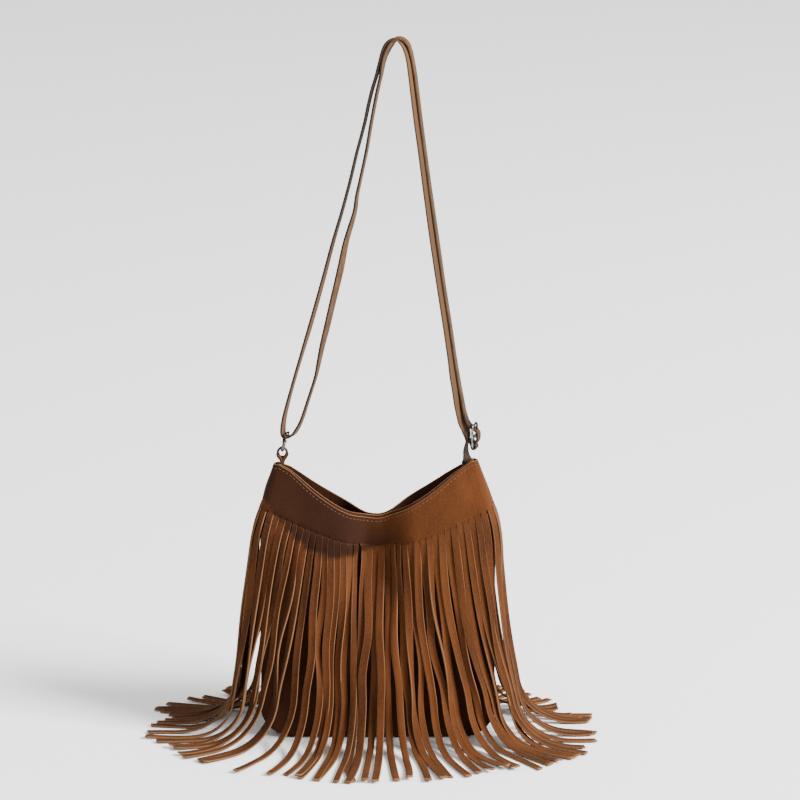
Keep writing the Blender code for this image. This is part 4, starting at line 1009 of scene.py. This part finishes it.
def lathe(centre, axis, outline, sides=40):
    """Turned solid from (height along the axis, radius) points, pole to pole."""
    axis = unit(np.asarray(axis, dtype=float))
    helper = UP if abs(axis[2]) < 0.9 else np.array([1.0, 0.0, 0.0])
    first = unit(np.cross(axis, helper))
    second = np.cross(axis, first)
    angle = np.arange(sides) * 2 * math.pi / sides
    ray = first * np.cos(angle)[:, None] + second * np.sin(angle)[:, None]
    outline = np.array(outline)
    points = centre + axis * outline[:, None, :1] + ray[None] * outline[:, None, 1:]
    index = np.arange(len(outline) * sides).reshape(len(outline), sides)
    ends = [index[0, ::-1].tolist(), index[-1].tolist()]
    return points.reshape(-1, 3), tube_faces(index).tolist() + ends


dark_nickel = nickel_finish("dark_nickel", NICKEL_COLORS)
# Darker copies of the same nickel, as painted shade: the hook's, and the darkest for the ring, eye and
# prong.
hook_shaded_nickel = nickel_finish("hook_shaded_nickel", HOOK_SHADED_COLORS, 0.42)
shaded_nickel = nickel_finish("shaded_nickel", SHADED_NICKEL_COLORS)
snap_inner = SNAP_HALF - SUEDE
well = NUB_RADIUS + PIECE_GAP
well_floor = SOCKET_THICK - NUB_HEIGHT - PIECE_GAP
nub_top = STUD_THICK + NUB_HEIGHT


def disc_rim(thick):
    """Outline of a bevelled disc's back, rim and front edge, as (height, radius)."""
    return [(0.0, CAP_RADIUS), (0.0, SNAP_RADIUS - BEVEL), (BEVEL, SNAP_RADIUS),
            (thick - BEVEL, SNAP_RADIUS), (thick, SNAP_RADIUS - BEVEL)]


socket_outline = disc_rim(SOCKET_THICK) + [
    (SOCKET_THICK, well + BEVEL), (SOCKET_THICK - BEVEL, well), (well_floor, well),
    (well_floor, CAP_RADIUS)]
stud_outline = disc_rim(STUD_THICK) + [
    (STUD_THICK, NUB_RADIUS), (nub_top - BEVEL, NUB_RADIUS), (nub_top, NUB_RADIUS - BEVEL),
    (nub_top, CAP_RADIUS)]
for disc_name, disc_y, disc_axis, disc_outline in (
        ("magnet_socket", PIECE_GAP - snap_inner, (0, 1, 0), socket_outline),
        ("magnet_stud", snap_inner - PIECE_GAP, (0, -1, 0), stud_outline)):
    disc_shape = lathe(np.array([0.0, disc_y, SNAP_Z]), disc_axis, disc_outline)
    disc = make_piece(disc_name + "_metal", *disc_shape, dark_nickel, crease=30)
    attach(disc, "bag")
    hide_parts(disc_name)


# D ring and its tab
# A bent wire ring at the left corner of the mouth, held by a short forked suede tab whose two arms go
# round the ends of the ring's lower bar and whose foot is sewn inside the mouth.

RING_WIDTH = 0.0067
RING_HEIGHT = 0.0070
RING_WIRE = 0.00075
RING_X = sum(corner.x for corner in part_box("d_ring")) / 2
RING_BAR_Z = BAG_HEIGHT + 0.0026
RING_TOP_Z = RING_BAR_Z + RING_HEIGHT
RING_SWELL = 1.25
TAB_WIDTH = 0.0044
TAB_THICK = 0.0010
TAB_DEPTH = 0.0085

# Right half of the ring's lower bar and of the tab's arms, from the middle out and from the top down:
# across, as a share of half the ring's width, and up from the bar, in metres.
RING_BAR = ((0.3, 0.0), (0.60, 0.0005), (0.90, 0.0013))
TAB_ARM = ((1.06, 0.0024), (0.84, 0.0006), (0.54, -0.0010), (0.27, -0.0026), (0.17, -0.0038),
           (0.14, -0.0062))


def spline(points, per_span):
    """Smooth curve through unevenly spaced points: cubic spans whose slopes are weighted by length."""
    pts = np.array(points, dtype=float)
    span = np.linalg.norm(np.diff(pts, axis=0), axis=1)[:, None]
    slope = np.diff(pts, axis=0) / span
    inside = (slope[:-1] * span[1:] + slope[1:] * span[:-1]) / (span[1:] + span[:-1])
    slope = np.concatenate([slope[:1], inside, slope[-1:]])[:, None, :]
    t = (np.arange(per_span) / per_span)[None, :, None]
    place = pts[:-1, None, :] * (1 + 2 * t) * (1 - t) ** 2 + pts[1:, None, :] * t * t * (3 - 2 * t)
    bend = slope[:-1] * t * (1 - t) ** 2 - slope[1:] * t * t * (1 - t)
    curve = place + bend * span[:, None, :]
    return np.concatenate([curve.reshape(-1, 3), pts[-1:]])


def slab(width, thick, rounding, steps=4):
    """Closed profile of a flat strip with rounded edges."""
    angle = np.linspace(0.0, math.pi / 2, steps)
    corner = np.stack([np.cos(angle), np.sin(angle)], axis=1) * rounding
    quarter = corner + [width / 2 - rounding, thick / 2 - rounding]
    left = quarter[::-1] * [-1, 1]
    return np.concatenate([quarter, left, quarter * [-1, -1], left * [-1, -1]])


def inner_wall(x, z):
    """Distance of a panel's inner face from the middle plane, without its sag."""
    z = min(z, BAG_HEIGHT)
    x = np.array([abs(x)])
    z = np.array([z])
    seam = seam_radius(z)
    reach = np.clip(seam - edge_distance(x, z), 0.0, 0.98 * seam)
    return float((panel_depth(x, z) - seam + np.sqrt(seam ** 2 - reach ** 2))[0] - SUEDE * 1.02)


ring_half = RING_WIDTH / 2
ring_angle = np.linspace(0.0, math.pi, 33)
ring_arc = np.stack([
    ring_half * 1.06 * np.cos(ring_angle), RING_HEIGHT * (0.32 + 0.68 * np.sin(ring_angle))], axis=1)
ring_bar = [(-ring_half * across, up) for across, up in RING_BAR[::-1]] + [(0.0, -0.0002)]
ring_bar += [(ring_half * across, up) for across, up in RING_BAR]
ring_flat = np.concatenate([ring_bar, ring_arc])
ring_path = np.stack([
    RING_X + ring_flat[:, 0], 0 * ring_flat[:, 0], RING_BAR_Z + ring_flat[:, 1]], axis=1)
ring_shape = sweep(ring_path, (0, 1, 0), circle(RING_WIRE * RING_SWELL), closed=True)
d_ring = make_piece("d_ring_metal", *ring_shape, shaded_nickel)
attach(d_ring, "ring")
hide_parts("d_ring")

arm_profile = slab(TAB_WIDTH * 0.75, 2 * TAB_THICK + RING_WIRE, 0.0008)
tab_parts = []
for arm_side in (-1, 1):
    arm_line = [(arm_side * ring_half * across, 0.0, RING_BAR_Z + up) for across, up in TAB_ARM]
    arm_path = spline(np.array(arm_line) + [RING_X, 0.0, 0.0], 6)
    arm_scale = 1.0 - 0.25 * np.linspace(0.0, 1.0, len(arm_path)) ** 2
    tab_parts.append(sweep(arm_path, (0, 1, 0), arm_profile, scale=arm_scale))
tab_points, tab_faces = join(tab_parts)
ring_tab = make_piece("ring_tab_suede", tab_points, tab_faces, pouch_suede,
                      {"raw_edge": np.full(len(tab_points), 0.36)}, crease=50)
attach(ring_tab, "bag")
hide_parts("ring_tab")


# Snap hook, gate and swivel eye
# A small cast hook that hangs in the D ring, closed by a sprung gate on a cross pin. Its barrel holds
# the post of an eye that swivels, and the strap passes through the eye.

HOOK_LEAN = math.radians(14.5)
HOOK_WIRE = 0.00085
HOOK_SWELL = 1.5
HOOK_BOW = 0.0029
HOOK_CROTCH = 0.0060
HOOK_SHOULDER = 0.0012
BARREL_RADIUS = 0.0017
BARREL_LENGTH = 0.0020
POST_RADIUS = 0.0006
POST_HEAD = 0.0010
GATE_THICK = 0.0012
GATE_PIN = 0.0004
EAR_THICK = 0.0006
EYE_HEIGHT = 0.0046
EYE_WIRE = 0.0006
EYE_CORNER = 0.0020
STRAP_WIDTH = 0.008
STRAP_TURN = math.radians(18)
WIDTH_DIR = np.array([math.sin(STRAP_TURN), math.cos(STRAP_TURN), 0.0])
OUT_DIR = np.array([math.cos(STRAP_TURN), -math.sin(STRAP_TURN), 0.0])
HOOK_AXIS = np.array([math.sin(HOOK_LEAN), 0.0, math.cos(HOOK_LEAN)])
HOOK_FACE = np.array([math.cos(HOOK_LEAN), 0.0, -math.sin(HOOK_LEAN)])
HOOK_FOOT = np.array([RING_X, 0.0, RING_TOP_Z - RING_WIRE - PIECE_GAP - HOOK_WIRE])
BARREL_TOP = HOOK_CROTCH + BARREL_LENGTH
EYE_LOW = BARREL_TOP + PIECE_GAP + EYE_WIRE
GATE_Y = BARREL_RADIUS + PIECE_GAP + GATE_THICK / 2
GATE_TOP = HOOK_CROTCH - GATE_PIN
GATE_LOW = HOOK_BOW + 3 * PIECE_GAP


def hook_point(y, height, face=0.0):
    """Point beside the hook's leaning axis: depth y, height along it, and across it."""
    return HOOK_FOOT + HOOK_AXIS * height + np.array([0.0, y, 0.0]) + HOOK_FACE * face


def rod(path, across, radius, sides=20):
    """Round wire along a path, its rings half a radius apart, with a dome at each tip."""
    total = measured(path)[-1]
    count = max(4, int(total / (radius * 0.5)))
    angle = np.radians([80.0, 60.0, 40.0, 20.0])
    dome = radius * (1.0 - np.sin(angle))
    places = np.concatenate([dome, np.linspace(radius, total - radius, count), total - dome[::-1]])
    scale = np.concatenate([np.cos(angle), np.ones(count), np.cos(angle)[::-1]])
    return sweep(along_path(path, places), across, circle(radius, sides), scale=scale)


bow_angle = np.radians(np.linspace(180.0, 360.0, 25))
hook_line = [hook_point(-BARREL_RADIUS * 0.72, HOOK_CROTCH + BARREL_LENGTH / 2),
             hook_point(-BARREL_RADIUS * 1.15, HOOK_CROTCH + BARREL_LENGTH / 4),
             hook_point(-HOOK_BOW, HOOK_CROTCH - HOOK_SHOULDER)]
hook_line += [hook_point(HOOK_BOW * math.cos(a), HOOK_BOW + HOOK_BOW * math.sin(a)) for a in bow_angle]
hook_line += [hook_point(HOOK_BOW, HOOK_BOW + 0.0003)]
ear_depth = GATE_THICK / 2 + PIECE_GAP + EAR_THICK / 2
hook_parts = [rod(spline(hook_line, 4), HOOK_FACE, HOOK_WIRE * HOOK_SWELL)]
barrel_outline = [
    (HOOK_CROTCH, POST_RADIUS + PIECE_GAP), (HOOK_CROTCH, BARREL_RADIUS - BEVEL),
    (HOOK_CROTCH + BEVEL, BARREL_RADIUS), (BARREL_TOP - BEVEL, BARREL_RADIUS),
    (BARREL_TOP, BARREL_RADIUS - BEVEL), (BARREL_TOP, POST_RADIUS + PIECE_GAP / 3)]
hook_parts.append(lathe(HOOK_FOOT, HOOK_AXIS, barrel_outline))
for ear_side in (-1, 1):
    ear_ends = [hook_point(BARREL_RADIUS * 0.7, HOOK_CROTCH + BARREL_LENGTH / 2, ear_side * ear_depth),
                hook_point(GATE_Y + 2 * GATE_PIN, GATE_TOP - GATE_PIN, ear_side * ear_depth)]
    hook_parts.append(sweep(ear_ends, HOOK_FACE, slab(EAR_THICK, 4 * GATE_PIN, 0.00015)))
pin_ends = np.array([hook_point(GATE_Y, GATE_TOP, -ear_depth - EAR_THICK * 0.8),
                     hook_point(GATE_Y, GATE_TOP, ear_depth + EAR_THICK * 0.8)])
hook_parts.append(rod(pin_ends, HOOK_AXIS, GATE_PIN, sides=16))
snap_hook = make_piece("snap_hook_metal", *join(hook_parts), hook_shaded_nickel, crease=35)
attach(snap_hook, "ring")
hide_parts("snap_hook")

gate_path = spline([
    hook_point(GATE_Y, GATE_TOP + 2 * GATE_PIN), hook_point(GATE_Y, GATE_TOP - 2 * GATE_PIN),
    hook_point(HOOK_BOW, GATE_LOW)], 6)
gate_shape = sweep(gate_path, HOOK_FACE, slab(GATE_THICK, GATE_THICK, 0.0003))
hook_gate = make_piece("hook_gate_metal", *gate_shape, hook_shaded_nickel, crease=35)
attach(hook_gate, "gate")
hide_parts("hook_gate")


def rounded_loop(half_width, half_height, corner, steps=8):
    """Closed rectangle of (across, up) points with a quarter circle at each corner."""
    angle = np.linspace(0.0, math.pi / 2, steps)
    points = []
    for quarter, (sx, sz) in enumerate(((1, 1), (-1, 1), (-1, -1), (1, -1))):
        centre = np.array([sx * (half_width - corner), sz * (half_height - corner)])
        turn = angle + quarter * math.pi / 2
        points += (centre + np.stack([np.cos(turn), np.sin(turn)], axis=1) * corner).tolist()
    return points


eye_half = STRAP_WIDTH / 2 + 2 * PIECE_GAP + EYE_WIRE
eye_centre = HOOK_FOOT + HOOK_AXIS * (EYE_LOW + EYE_HEIGHT / 2)
eye_path = [eye_centre + WIDTH_DIR * a + HOOK_AXIS * b
            for a, b in rounded_loop(eye_half, EYE_HEIGHT / 2, EYE_CORNER)]
post_outline = [
    (HOOK_CROTCH - PIECE_GAP - 0.0007, POST_HEAD * 0.5), (HOOK_CROTCH - PIECE_GAP - 0.0005, POST_HEAD),
    (HOOK_CROTCH - PIECE_GAP, POST_HEAD), (HOOK_CROTCH - PIECE_GAP, POST_RADIUS),
    (EYE_LOW - EYE_WIRE, POST_RADIUS), (EYE_LOW, POST_RADIUS * 1.3)]
eye_parts = [sweep(eye_path, OUT_DIR, circle(EYE_WIRE, 16), closed=True),
             lathe(HOOK_FOOT, HOOK_AXIS, post_outline, 24)]
swivel_eye = make_piece("swivel_eye_metal", *join(eye_parts), shaded_nickel, crease=35)
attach(swivel_eye, "eye")
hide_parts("swivel_eye")


# Buckle
# A nickel frame with a centre bar, its lower rail held by a folded leather chape, and a prong that
# turns on the centre bar and rests on the top rail.

BUCKLE_WIDTH = 0.0125
BUCKLE_HALF = 0.0085
BUCKLE_WIRE = 0.0008
BUCKLE_CORNER = 0.0022
BAR_RADIUS = BUCKLE_WIRE * 0.9
BUCKLE_RISE = 0.0190
CHAPE_WIDTH = 0.0070
CHAPE_THICK = 0.0012
PRONG_RADIUS = 0.0006
BUCKLE = np.array([sum(corner.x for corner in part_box("buckle_frame")) / 2, 0.0, BAG_HEIGHT + BUCKLE_RISE])
STRAP_THICK = 0.0016
RAIL_FOLD = BUCKLE_WIRE + PIECE_GAP + CHAPE_THICK / 2
EYE_OUTER = BUCKLE_WIRE + PIECE_GAP / 2 + 2 * PRONG_RADIUS
CHAPE_BACK = -(BUCKLE_WIRE + 2 * PIECE_GAP + 2.1 * CHAPE_THICK)
CHAPE_TOP = -(EYE_OUTER + 2 * PIECE_GAP)
STRAP_COLORS = ((0.036, 0.0165, 0.0068), (0.122, 0.058, 0.0225))
FLESH_COLOR = (0.100, 0.047, 0.0195)
STRAP_EDGE_COLOR = (0.013, 0.0080, 0.0034)
# Colour that the strap and chape are darkened towards: painted shade at the strap's ends and on its left
# outer strand.
DARKENING_COLOR = (0.0125, 0.0085, 0.0048)


def buckle_point(out, up, width=0.0):
    """Point beside the buckle's centre bar: out from the strap, up, and along the bar."""
    return BUCKLE + OUT_DIR * out + UP * up + WIDTH_DIR * width


def leather_finish():
    """Brown strap leather: fine grain on one face, paler flesh on the other, dark dyed edges, and the
    painted shade and darkening given at its points.
    """
    made, shader = make_shader("strap_leather", 0.8)
    tree = made.node_tree
    grain = noise(tree, 620.0, 4.0, (1.0, 1.0, 0.10)).outputs["Fac"]
    color = ramp(tree, grain, [(0.32, STRAP_COLORS[0]), (0.68, STRAP_COLORS[1])])
    color = mix_colors(tree, read_value(tree, "flesh"), color, FLESH_COLOR)
    # Dyed edges, stronger on the left as painted shade, then the darkening, mostly painted shade.
    color = mix_colors(tree, read_value(tree, "dyed_edge"), color, STRAP_EDGE_COLOR)
    color = mix_colors(tree, read_value(tree, "handled"), color, DARKENING_COLOR)
    tree.links.new(color, shader.inputs["Base Color"])
    shader.inputs["Specular IOR Level"].default_value = 0.15
    nap_bump(tree, shader, 0.35, ((700.0, 0.6), (2400.0, 0.4)))
    return made


strap_leather = leather_finish()
frame_path = [buckle_point(0.0, z, w)
              for w, z in rounded_loop(BUCKLE_WIDTH / 2, BUCKLE_HALF, BUCKLE_CORNER)]
bar_ends = [buckle_point(0.0, 0.0, end * BUCKLE_WIDTH / 2) for end in (-1, 1)]
frame_parts = [sweep(frame_path, OUT_DIR, circle(BUCKLE_WIRE), closed=True),
               sweep(bar_ends, UP, circle(BAR_RADIUS))]
buckle_frame = make_piece("buckle_frame_metal", *join(frame_parts), dark_nickel, crease=40)
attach(buckle_frame, "buckle")
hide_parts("buckle_frame")

prong_ring = BAR_RADIUS + PIECE_GAP / 2 + PRONG_RADIUS
prong_angle = np.radians(np.array([-165, -120, -75, -30, 15, 50]) - 60.0)
prong_rest = BUCKLE_WIRE + PIECE_GAP + PRONG_RADIUS
prong_line = [(prong_ring * math.cos(a), prong_ring * math.sin(a)) for a in prong_angle]
prong_line += [(prong_ring * 0.93, prong_ring * 1.25), (prong_rest * 0.92, BUCKLE_HALF * 0.5),
               (prong_rest, BUCKLE_HALF), (prong_rest * 0.72, BUCKLE_HALF + 0.0011),
               (prong_rest * 0.1, BUCKLE_HALF + 0.0016)]
prong_path = spline([buckle_point(out, up) for out, up in prong_line], 8)
prong_shape = rod(prong_path, WIDTH_DIR, PRONG_RADIUS, 16)
buckle_prong = make_piece("buckle_prong_metal", *prong_shape, shaded_nickel)
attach(buckle_prong, "prong")
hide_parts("buckle_prong")


def strip_values(profile, dye_and_shade, handled, width, thick):
    """Numbers at a leather strip's points: flesh face, dyed edges with painted shade, and how far it is
    darkened, mostly as painted shade.
    """
    flesh = np.where(profile[:, 1] < 0, 1.0, 0.0)
    edge = np.where(np.abs(profile[:, 0]) > width / 2 - 0.45 * thick, 1.0, 0.0)
    edge = np.where(np.abs(profile[:, 1]) > thick * 0.49, 0.35 * edge, edge)
    return {"flesh": np.tile(flesh, len(dye_and_shade)), "dyed_edge": (dye_and_shade[:, None] * edge).reshape(-1),
            "handled": np.repeat(handled, len(profile))}


chape_leg = CHAPE_THICK / 2 + PIECE_GAP / 6
chape_middle = CHAPE_BACK + chape_leg + CHAPE_THICK / 2
chape_line = [
    (chape_middle - chape_leg, CHAPE_TOP), (chape_middle - chape_leg, -BUCKLE_HALF * 0.52),
    (chape_middle + 0.0003, -BUCKLE_HALF * 0.76)]
chape_line += [(RAIL_FOLD * math.cos(a), -BUCKLE_HALF + RAIL_FOLD * math.sin(a))
               for a in np.radians((170, 200, 232, 265, 298, 332, 370))]
chape_line += [
    (0.0005, -BUCKLE_HALF * 0.74), (chape_middle + chape_leg + 0.0011, -BUCKLE_HALF * 0.58),
    (chape_middle + chape_leg + 0.0001, -BUCKLE_HALF * 0.42), (chape_middle + chape_leg, CHAPE_TOP)]
chape_path = spline([buckle_point(out, up) for out, up in chape_line], 5)
chape_profile = slab(CHAPE_WIDTH, CHAPE_THICK, 0.0003)
chape_dye = np.ones(len(chape_path))
# The whole chape is darkened to 0.8 with the same darkening.
chape_values = strip_values(chape_profile, chape_dye, 0.8 * chape_dye, CHAPE_WIDTH, CHAPE_THICK)
chape_shape = sweep(chape_path, WIDTH_DIR, chape_profile)
chape = make_piece("buckle_chape_leather", *chape_shape, strap_leather, chape_values, crease=50)
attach(chape, "bag")
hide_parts("buckle_chape")


# Strap
# One long narrow leather strap. It is sewn inside the right corner of the mouth, goes up, over and down
# to the eye at the left, turns back there and returns the same way to the buckle, where a row of punched
# holes takes the prong. The stretches near the hook and near the buckle are meshes of their own.

HOLE_RADIUS = 0.0011
HOLE_PITCH = 0.022
HOLE_COUNT = 5
SLOT_WIDTH = 0.0022
SLOT_LENGTH = 0.0082
SLOT_MIDDLE = 0.0017
SLOT_REACH = (-0.0012, 0.0060)
DROP_TOP = 0.42
DROP_LOW = 0.26
HOLES_TOP = 0.36
STRAP_SPAN = 14
STRAP_SHIFT = 0.0024
SEAT_GAP = 2.2 * PIECE_GAP

# The strap's centre line in front view: millimetres across and up, and how many degrees its flat is
# turned from edge-on towards the front.
FROM_RIM = ((66.4, 212.0, 42), (65.9, 215.0, 28), (65.7, 218.5, 23), (66.1, 221.9, 16),
            (66.8, 225.3, 13), (66.9, 228.7, 30), (66.0, 232.2, 46), (64.6, 235.6, 44),
            (62.9, 239.0, 38), (61.1, 246.0, 39), (59.6, 252.8, 38))
RIGHT_UP = ((57.7, 264.3, 34), (55.7, 275.7, 32), (54.2, 287.2, 28), (50.9, 310.0, 27),
            (45.7, 344.0, 27), (40.6, 377.9, 27), (36.0, 411.5, 26), (31.6, 444.9, 25),
            (28.5, 467.0, 24), (25.8, 489.1, 24), (24.5, 500.0, 24))
OVER_INSIDE = ((22.9, 511.0, 23), (21.3, 517.2, 22), (19.2, 521.9, 21), (17.4, 524.2, 22),
               (15.3, 525.5, 24), (12.7, 524.7, 28), (10.2, 522.1, 30), (7.4, 517.4, 29),
               (5.0, 511.0, 22))
LEFT_DOWN = ((2.9, 500.0, 14), (0.4, 489.1, 14), (-3.9, 467.0, 13), (-7.7, 444.9, 12),
             (-12.4, 422.6, 12), (-14.8, 411.5, 14), (-16.3, 400.3, 18), (-19.4, 389.1, 25),
             (-22.7, 377.9, 28), (-27.4, 355.3, 36), (-32.7, 332.7, 33), (-38.0, 310.0, 31),
             (-40.8, 298.6, 26), (-43.2, 287.2, 20), (-45.6, 275.7, 14), (-49.1, 264.3, 13),
             (-52.8, 252.8, 14), (-56.6, 241.3, 17), (-58.5, 237.0, 20))
EYE_TURN = ((-60.4, 233.6, 24), (-62.5, 230.6, 24), (-64.8, 228.9, 24), (-67.2, 228.4, 24),
            (-69.3, 229.0, 24), (-70.4, 231.0, 24), (-70.6, 234.0, 23))
LEFT_UP = ((-69.8, 241.3, 20), (-67.2, 252.8, 17), (-64.1, 264.3, 14), (-60.9, 275.7, 14),
           (-57.5, 287.2, 15), (-50.7, 310.0, 20), (-41.1, 344.0, 19), (-32.1, 377.9, 15),
           (-25.6, 400.3, 12), (-19.7, 422.6, 11), (-14.4, 444.9, 11), (-11.4, 455.9, 11),
           (-8.6, 467.0, 12), (-6.3, 478.0, 13), (-3.6, 489.1, 14), (-0.3, 500.0, 14))
OVER_OUTSIDE = ((2.8, 511.0, 20), (4.9, 517.6, 27), (7.0, 522.0, 31), (9.6, 524.9, 31),
                (12.3, 526.5, 26), (15.1, 527.0, 20), (17.9, 526.5, 14), (20.4, 524.9, 13),
                (22.7, 522.0, 13), (24.3, 517.6, 12), (25.8, 511.0, 12))
RIGHT_DOWN = ((27.7, 500.0, 12), (29.1, 489.1, 12), (31.8, 467.0, 12), (34.7, 444.9, 12),
              (39.3, 411.5, 12), (44.2, 377.9, 12), (49.0, 344.0, 12), (54.3, 310.0, 12),
              (57.6, 287.2, 12), (59.5, 275.7, 12), (61.5, 264.3, 12), (63.7, 252.8, 12),
              (65.1, 246.0, 13), (67.3, 239.3, 17), (69.2, 236.8, 18))


def sewn_end():
    """The fixed end's points against the back panel's inner face, and which way its flat lies."""
    x = MOUTH_HALF - STRAP_WIDTH - 0.0008
    near = x + STRAP_WIDTH / 2 + RIGHT_DRAW
    far = x - STRAP_WIDTH / 2 + RIGHT_DRAW
    seat = SEAT_GAP + STRAP_THICK / 2
    points = []
    for z in (BAG_HEIGHT - TAB_DEPTH, BAG_HEIGHT - TAB_DEPTH / 3):
        y = inner_wall(near, z) - seat + (inner_wall(far, z) - inner_wall(near, z)) * 0.35
        points.append(np.array([x, y, z]))
    low = BAG_HEIGHT - TAB_DEPTH / 2
    slope = (inner_wall(near, low) - inner_wall(far, low)) / STRAP_WIDTH
    return points, math.pi / 2 - math.atan(slope * 0.8)


def strap_route():
    """Points of the strap's centre line from its sewn end to its holed end, and its turn at each."""
    seat, seat_turn = sewn_end()
    table = FROM_RIM + RIGHT_UP + OVER_INSIDE + LEFT_DOWN + EYE_TURN + LEFT_UP + OVER_OUTSIDE + RIGHT_DOWN
    table = np.array(table)
    middle = np.stack([table[:, 0], 0 * table[:, 0], table[:, 1]], axis=1) / 1000.0
    beside = STRAP_SHIFT * ease((middle[:, 0] - 0.012) / 0.02) * ease((0.0655 - middle[:, 0]) / 0.006)
    middle[:, 1] = np.where(np.arange(len(table)) < len(table) / 2, -beside, beside)
    over_bar = EYE_OUTER + PIECE_GAP / 2 + STRAP_THICK / 2
    pinned = [buckle_point(out, BUCKLE_HALF * share) for out, share in (
        (0.0002, 0.60), (0.0026, 0.32), (over_bar, 0.0), (0.0028, -0.33), (0.0016, -0.62))]
    turns = np.concatenate([[seat_turn] * 2, np.radians(table[:, 2]), [STRAP_TURN] * len(pinned)])
    return np.concatenate([seat, middle, pinned]), turns


def cut_through(piece, cutters):
    """Cut closed meshes out of a piece, for punched holes."""
    for cutter in cutters:
        step = piece.modifiers.new("punch", "BOOLEAN")
        step.operation = "DIFFERENCE"
        step.solver = "EXACT"
        step.object = cutter
    graph = bpy.context.evaluated_depsgraph_get()
    cut = bpy.data.meshes.new_from_object(piece.evaluated_get(graph))
    piece.modifiers.clear()
    piece.data = cut
    for cutter in cutters:
        bpy.data.objects.remove(cutter, do_unlink=True)


strap_points, strap_turns = strap_route()
strap_path = spline(strap_points, STRAP_SPAN)
strap_high = strap_path[:, 2]
strap_turn = np.interp(np.arange(len(strap_path)) / STRAP_SPAN, np.arange(len(strap_turns)), strap_turns)
strap_across = np.stack([np.sin(strap_turn), np.cos(strap_turn), 0 * strap_turn], axis=1)
strap_profile = slab(STRAP_WIDTH, STRAP_THICK, 0.0006)

# The edges are dyed dark, at full strength on the left strands and faint on the right; that difference is
# painted shade on the left strands.
strap_dye_and_shade = 0.15 + 0.85 * ease((0.020 - strap_path[:, 0]) / 0.020)
strap_length = measured(strap_path)
strap_from_end = np.minimum(strap_length, 0.006 + strap_length[-1] - strap_length)
# Darkening: painted shade over the last few centimetres at both ends, where the strap lies in shade at the
# sewn end and behind the buckle, and on the left outer strand's upper half; the strands right of x = 14 mm
# are darkened too.
strap_darkening = 0.85 * ease((0.034 - strap_from_end) / 0.012)
strap_darkening += 0.48 * ease((strap_path[:, 0] - 0.014) / 0.02)
strap_outer = np.arange(len(strap_path)) > len(strap_path) / 2
strap_left_shade = 0.85 * strap_outer * ease((0.020 - strap_path[:, 0]) / 0.02)
strap_darkening += strap_left_shade * ease((strap_high - 0.33) / 0.08)
strap_darkening = np.minimum(strap_darkening, 0.9)

first_apex = int(np.argmax(strap_high[:len(strap_path) // 2]))
low_turn = first_apex + int(np.argmin(strap_high[first_apex:-STRAP_SPAN * 30]))
inner_drop = first_apex + int(np.argmax(strap_high[first_apex:low_turn] < DROP_TOP))
inner_bend = first_apex + int(np.argmax(strap_high[first_apex:low_turn] < DROP_LOW))
outer_bend = low_turn + int(np.argmax(strap_high[low_turn:] > DROP_LOW))
outer_drop = low_turn + int(np.argmax(strap_high[low_turn:] > DROP_TOP))
last_top = low_turn + int(np.argmax(strap_high[low_turn:]))
holes_start = last_top + int(np.argmax(strap_high[last_top:] < HOLES_TOP))


def strap_piece(name, first, last):
    """Closed mesh of the strap between two of its rings, with the leather's numbers at its points."""
    rings = slice(first, last + 1)
    values = strip_values(strap_profile, strap_dye_and_shade[rings], strap_darkening[rings], STRAP_WIDTH, STRAP_THICK)
    shape = sweep(strap_path[rings], strap_across[rings], strap_profile)
    made = make_piece(name, *shape, strap_leather, values, crease=50)
    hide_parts("strap")
    return made


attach(strap_piece("strap_inner_run", 0, inner_drop), "bag")
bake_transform(strap_piece("strap_inner_drop", inner_drop, inner_bend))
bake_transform(strap_piece("strap_bend", inner_bend, outer_bend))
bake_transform(strap_piece("strap_outer_drop", outer_bend, outer_drop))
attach(strap_piece("strap_outer_run", outer_drop, holes_start), "bag")

strap_end = strap_piece("strap_end", holes_start, len(strap_path) - 1)
strap_heading = unit(np.gradient(strap_path, axis=0))
punches = []
for hole in range(1, HOLE_COUNT + 1):
    hole_place = [strap_length[-1] - 2 * BUCKLE_HALF - hole * HOLE_PITCH]
    hole_centre = along_path(strap_path, hole_place)[0]
    hole_through = unit(np.cross(along_path(strap_path, hole_place, strap_heading)[0], WIDTH_DIR))
    hole_ends = [hole_centre - hole_through * STRAP_THICK, hole_centre + hole_through * STRAP_THICK]
    hole_shape = sweep(hole_ends, WIDTH_DIR, circle(HOLE_RADIUS, 24))
    punches.append(make_piece("punch", *hole_shape, strap_leather))
slot_ends = [buckle_point(out, SLOT_MIDDLE) for out in SLOT_REACH]
slot_profile = slab(SLOT_WIDTH, SLOT_LENGTH, 0.48 * SLOT_WIDTH, 8)
punches.append(make_piece("slot_punch", *sweep(slot_ends, WIDTH_DIR, slot_profile), strap_leather))
cut_through(strap_end, punches)
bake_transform(strap_end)
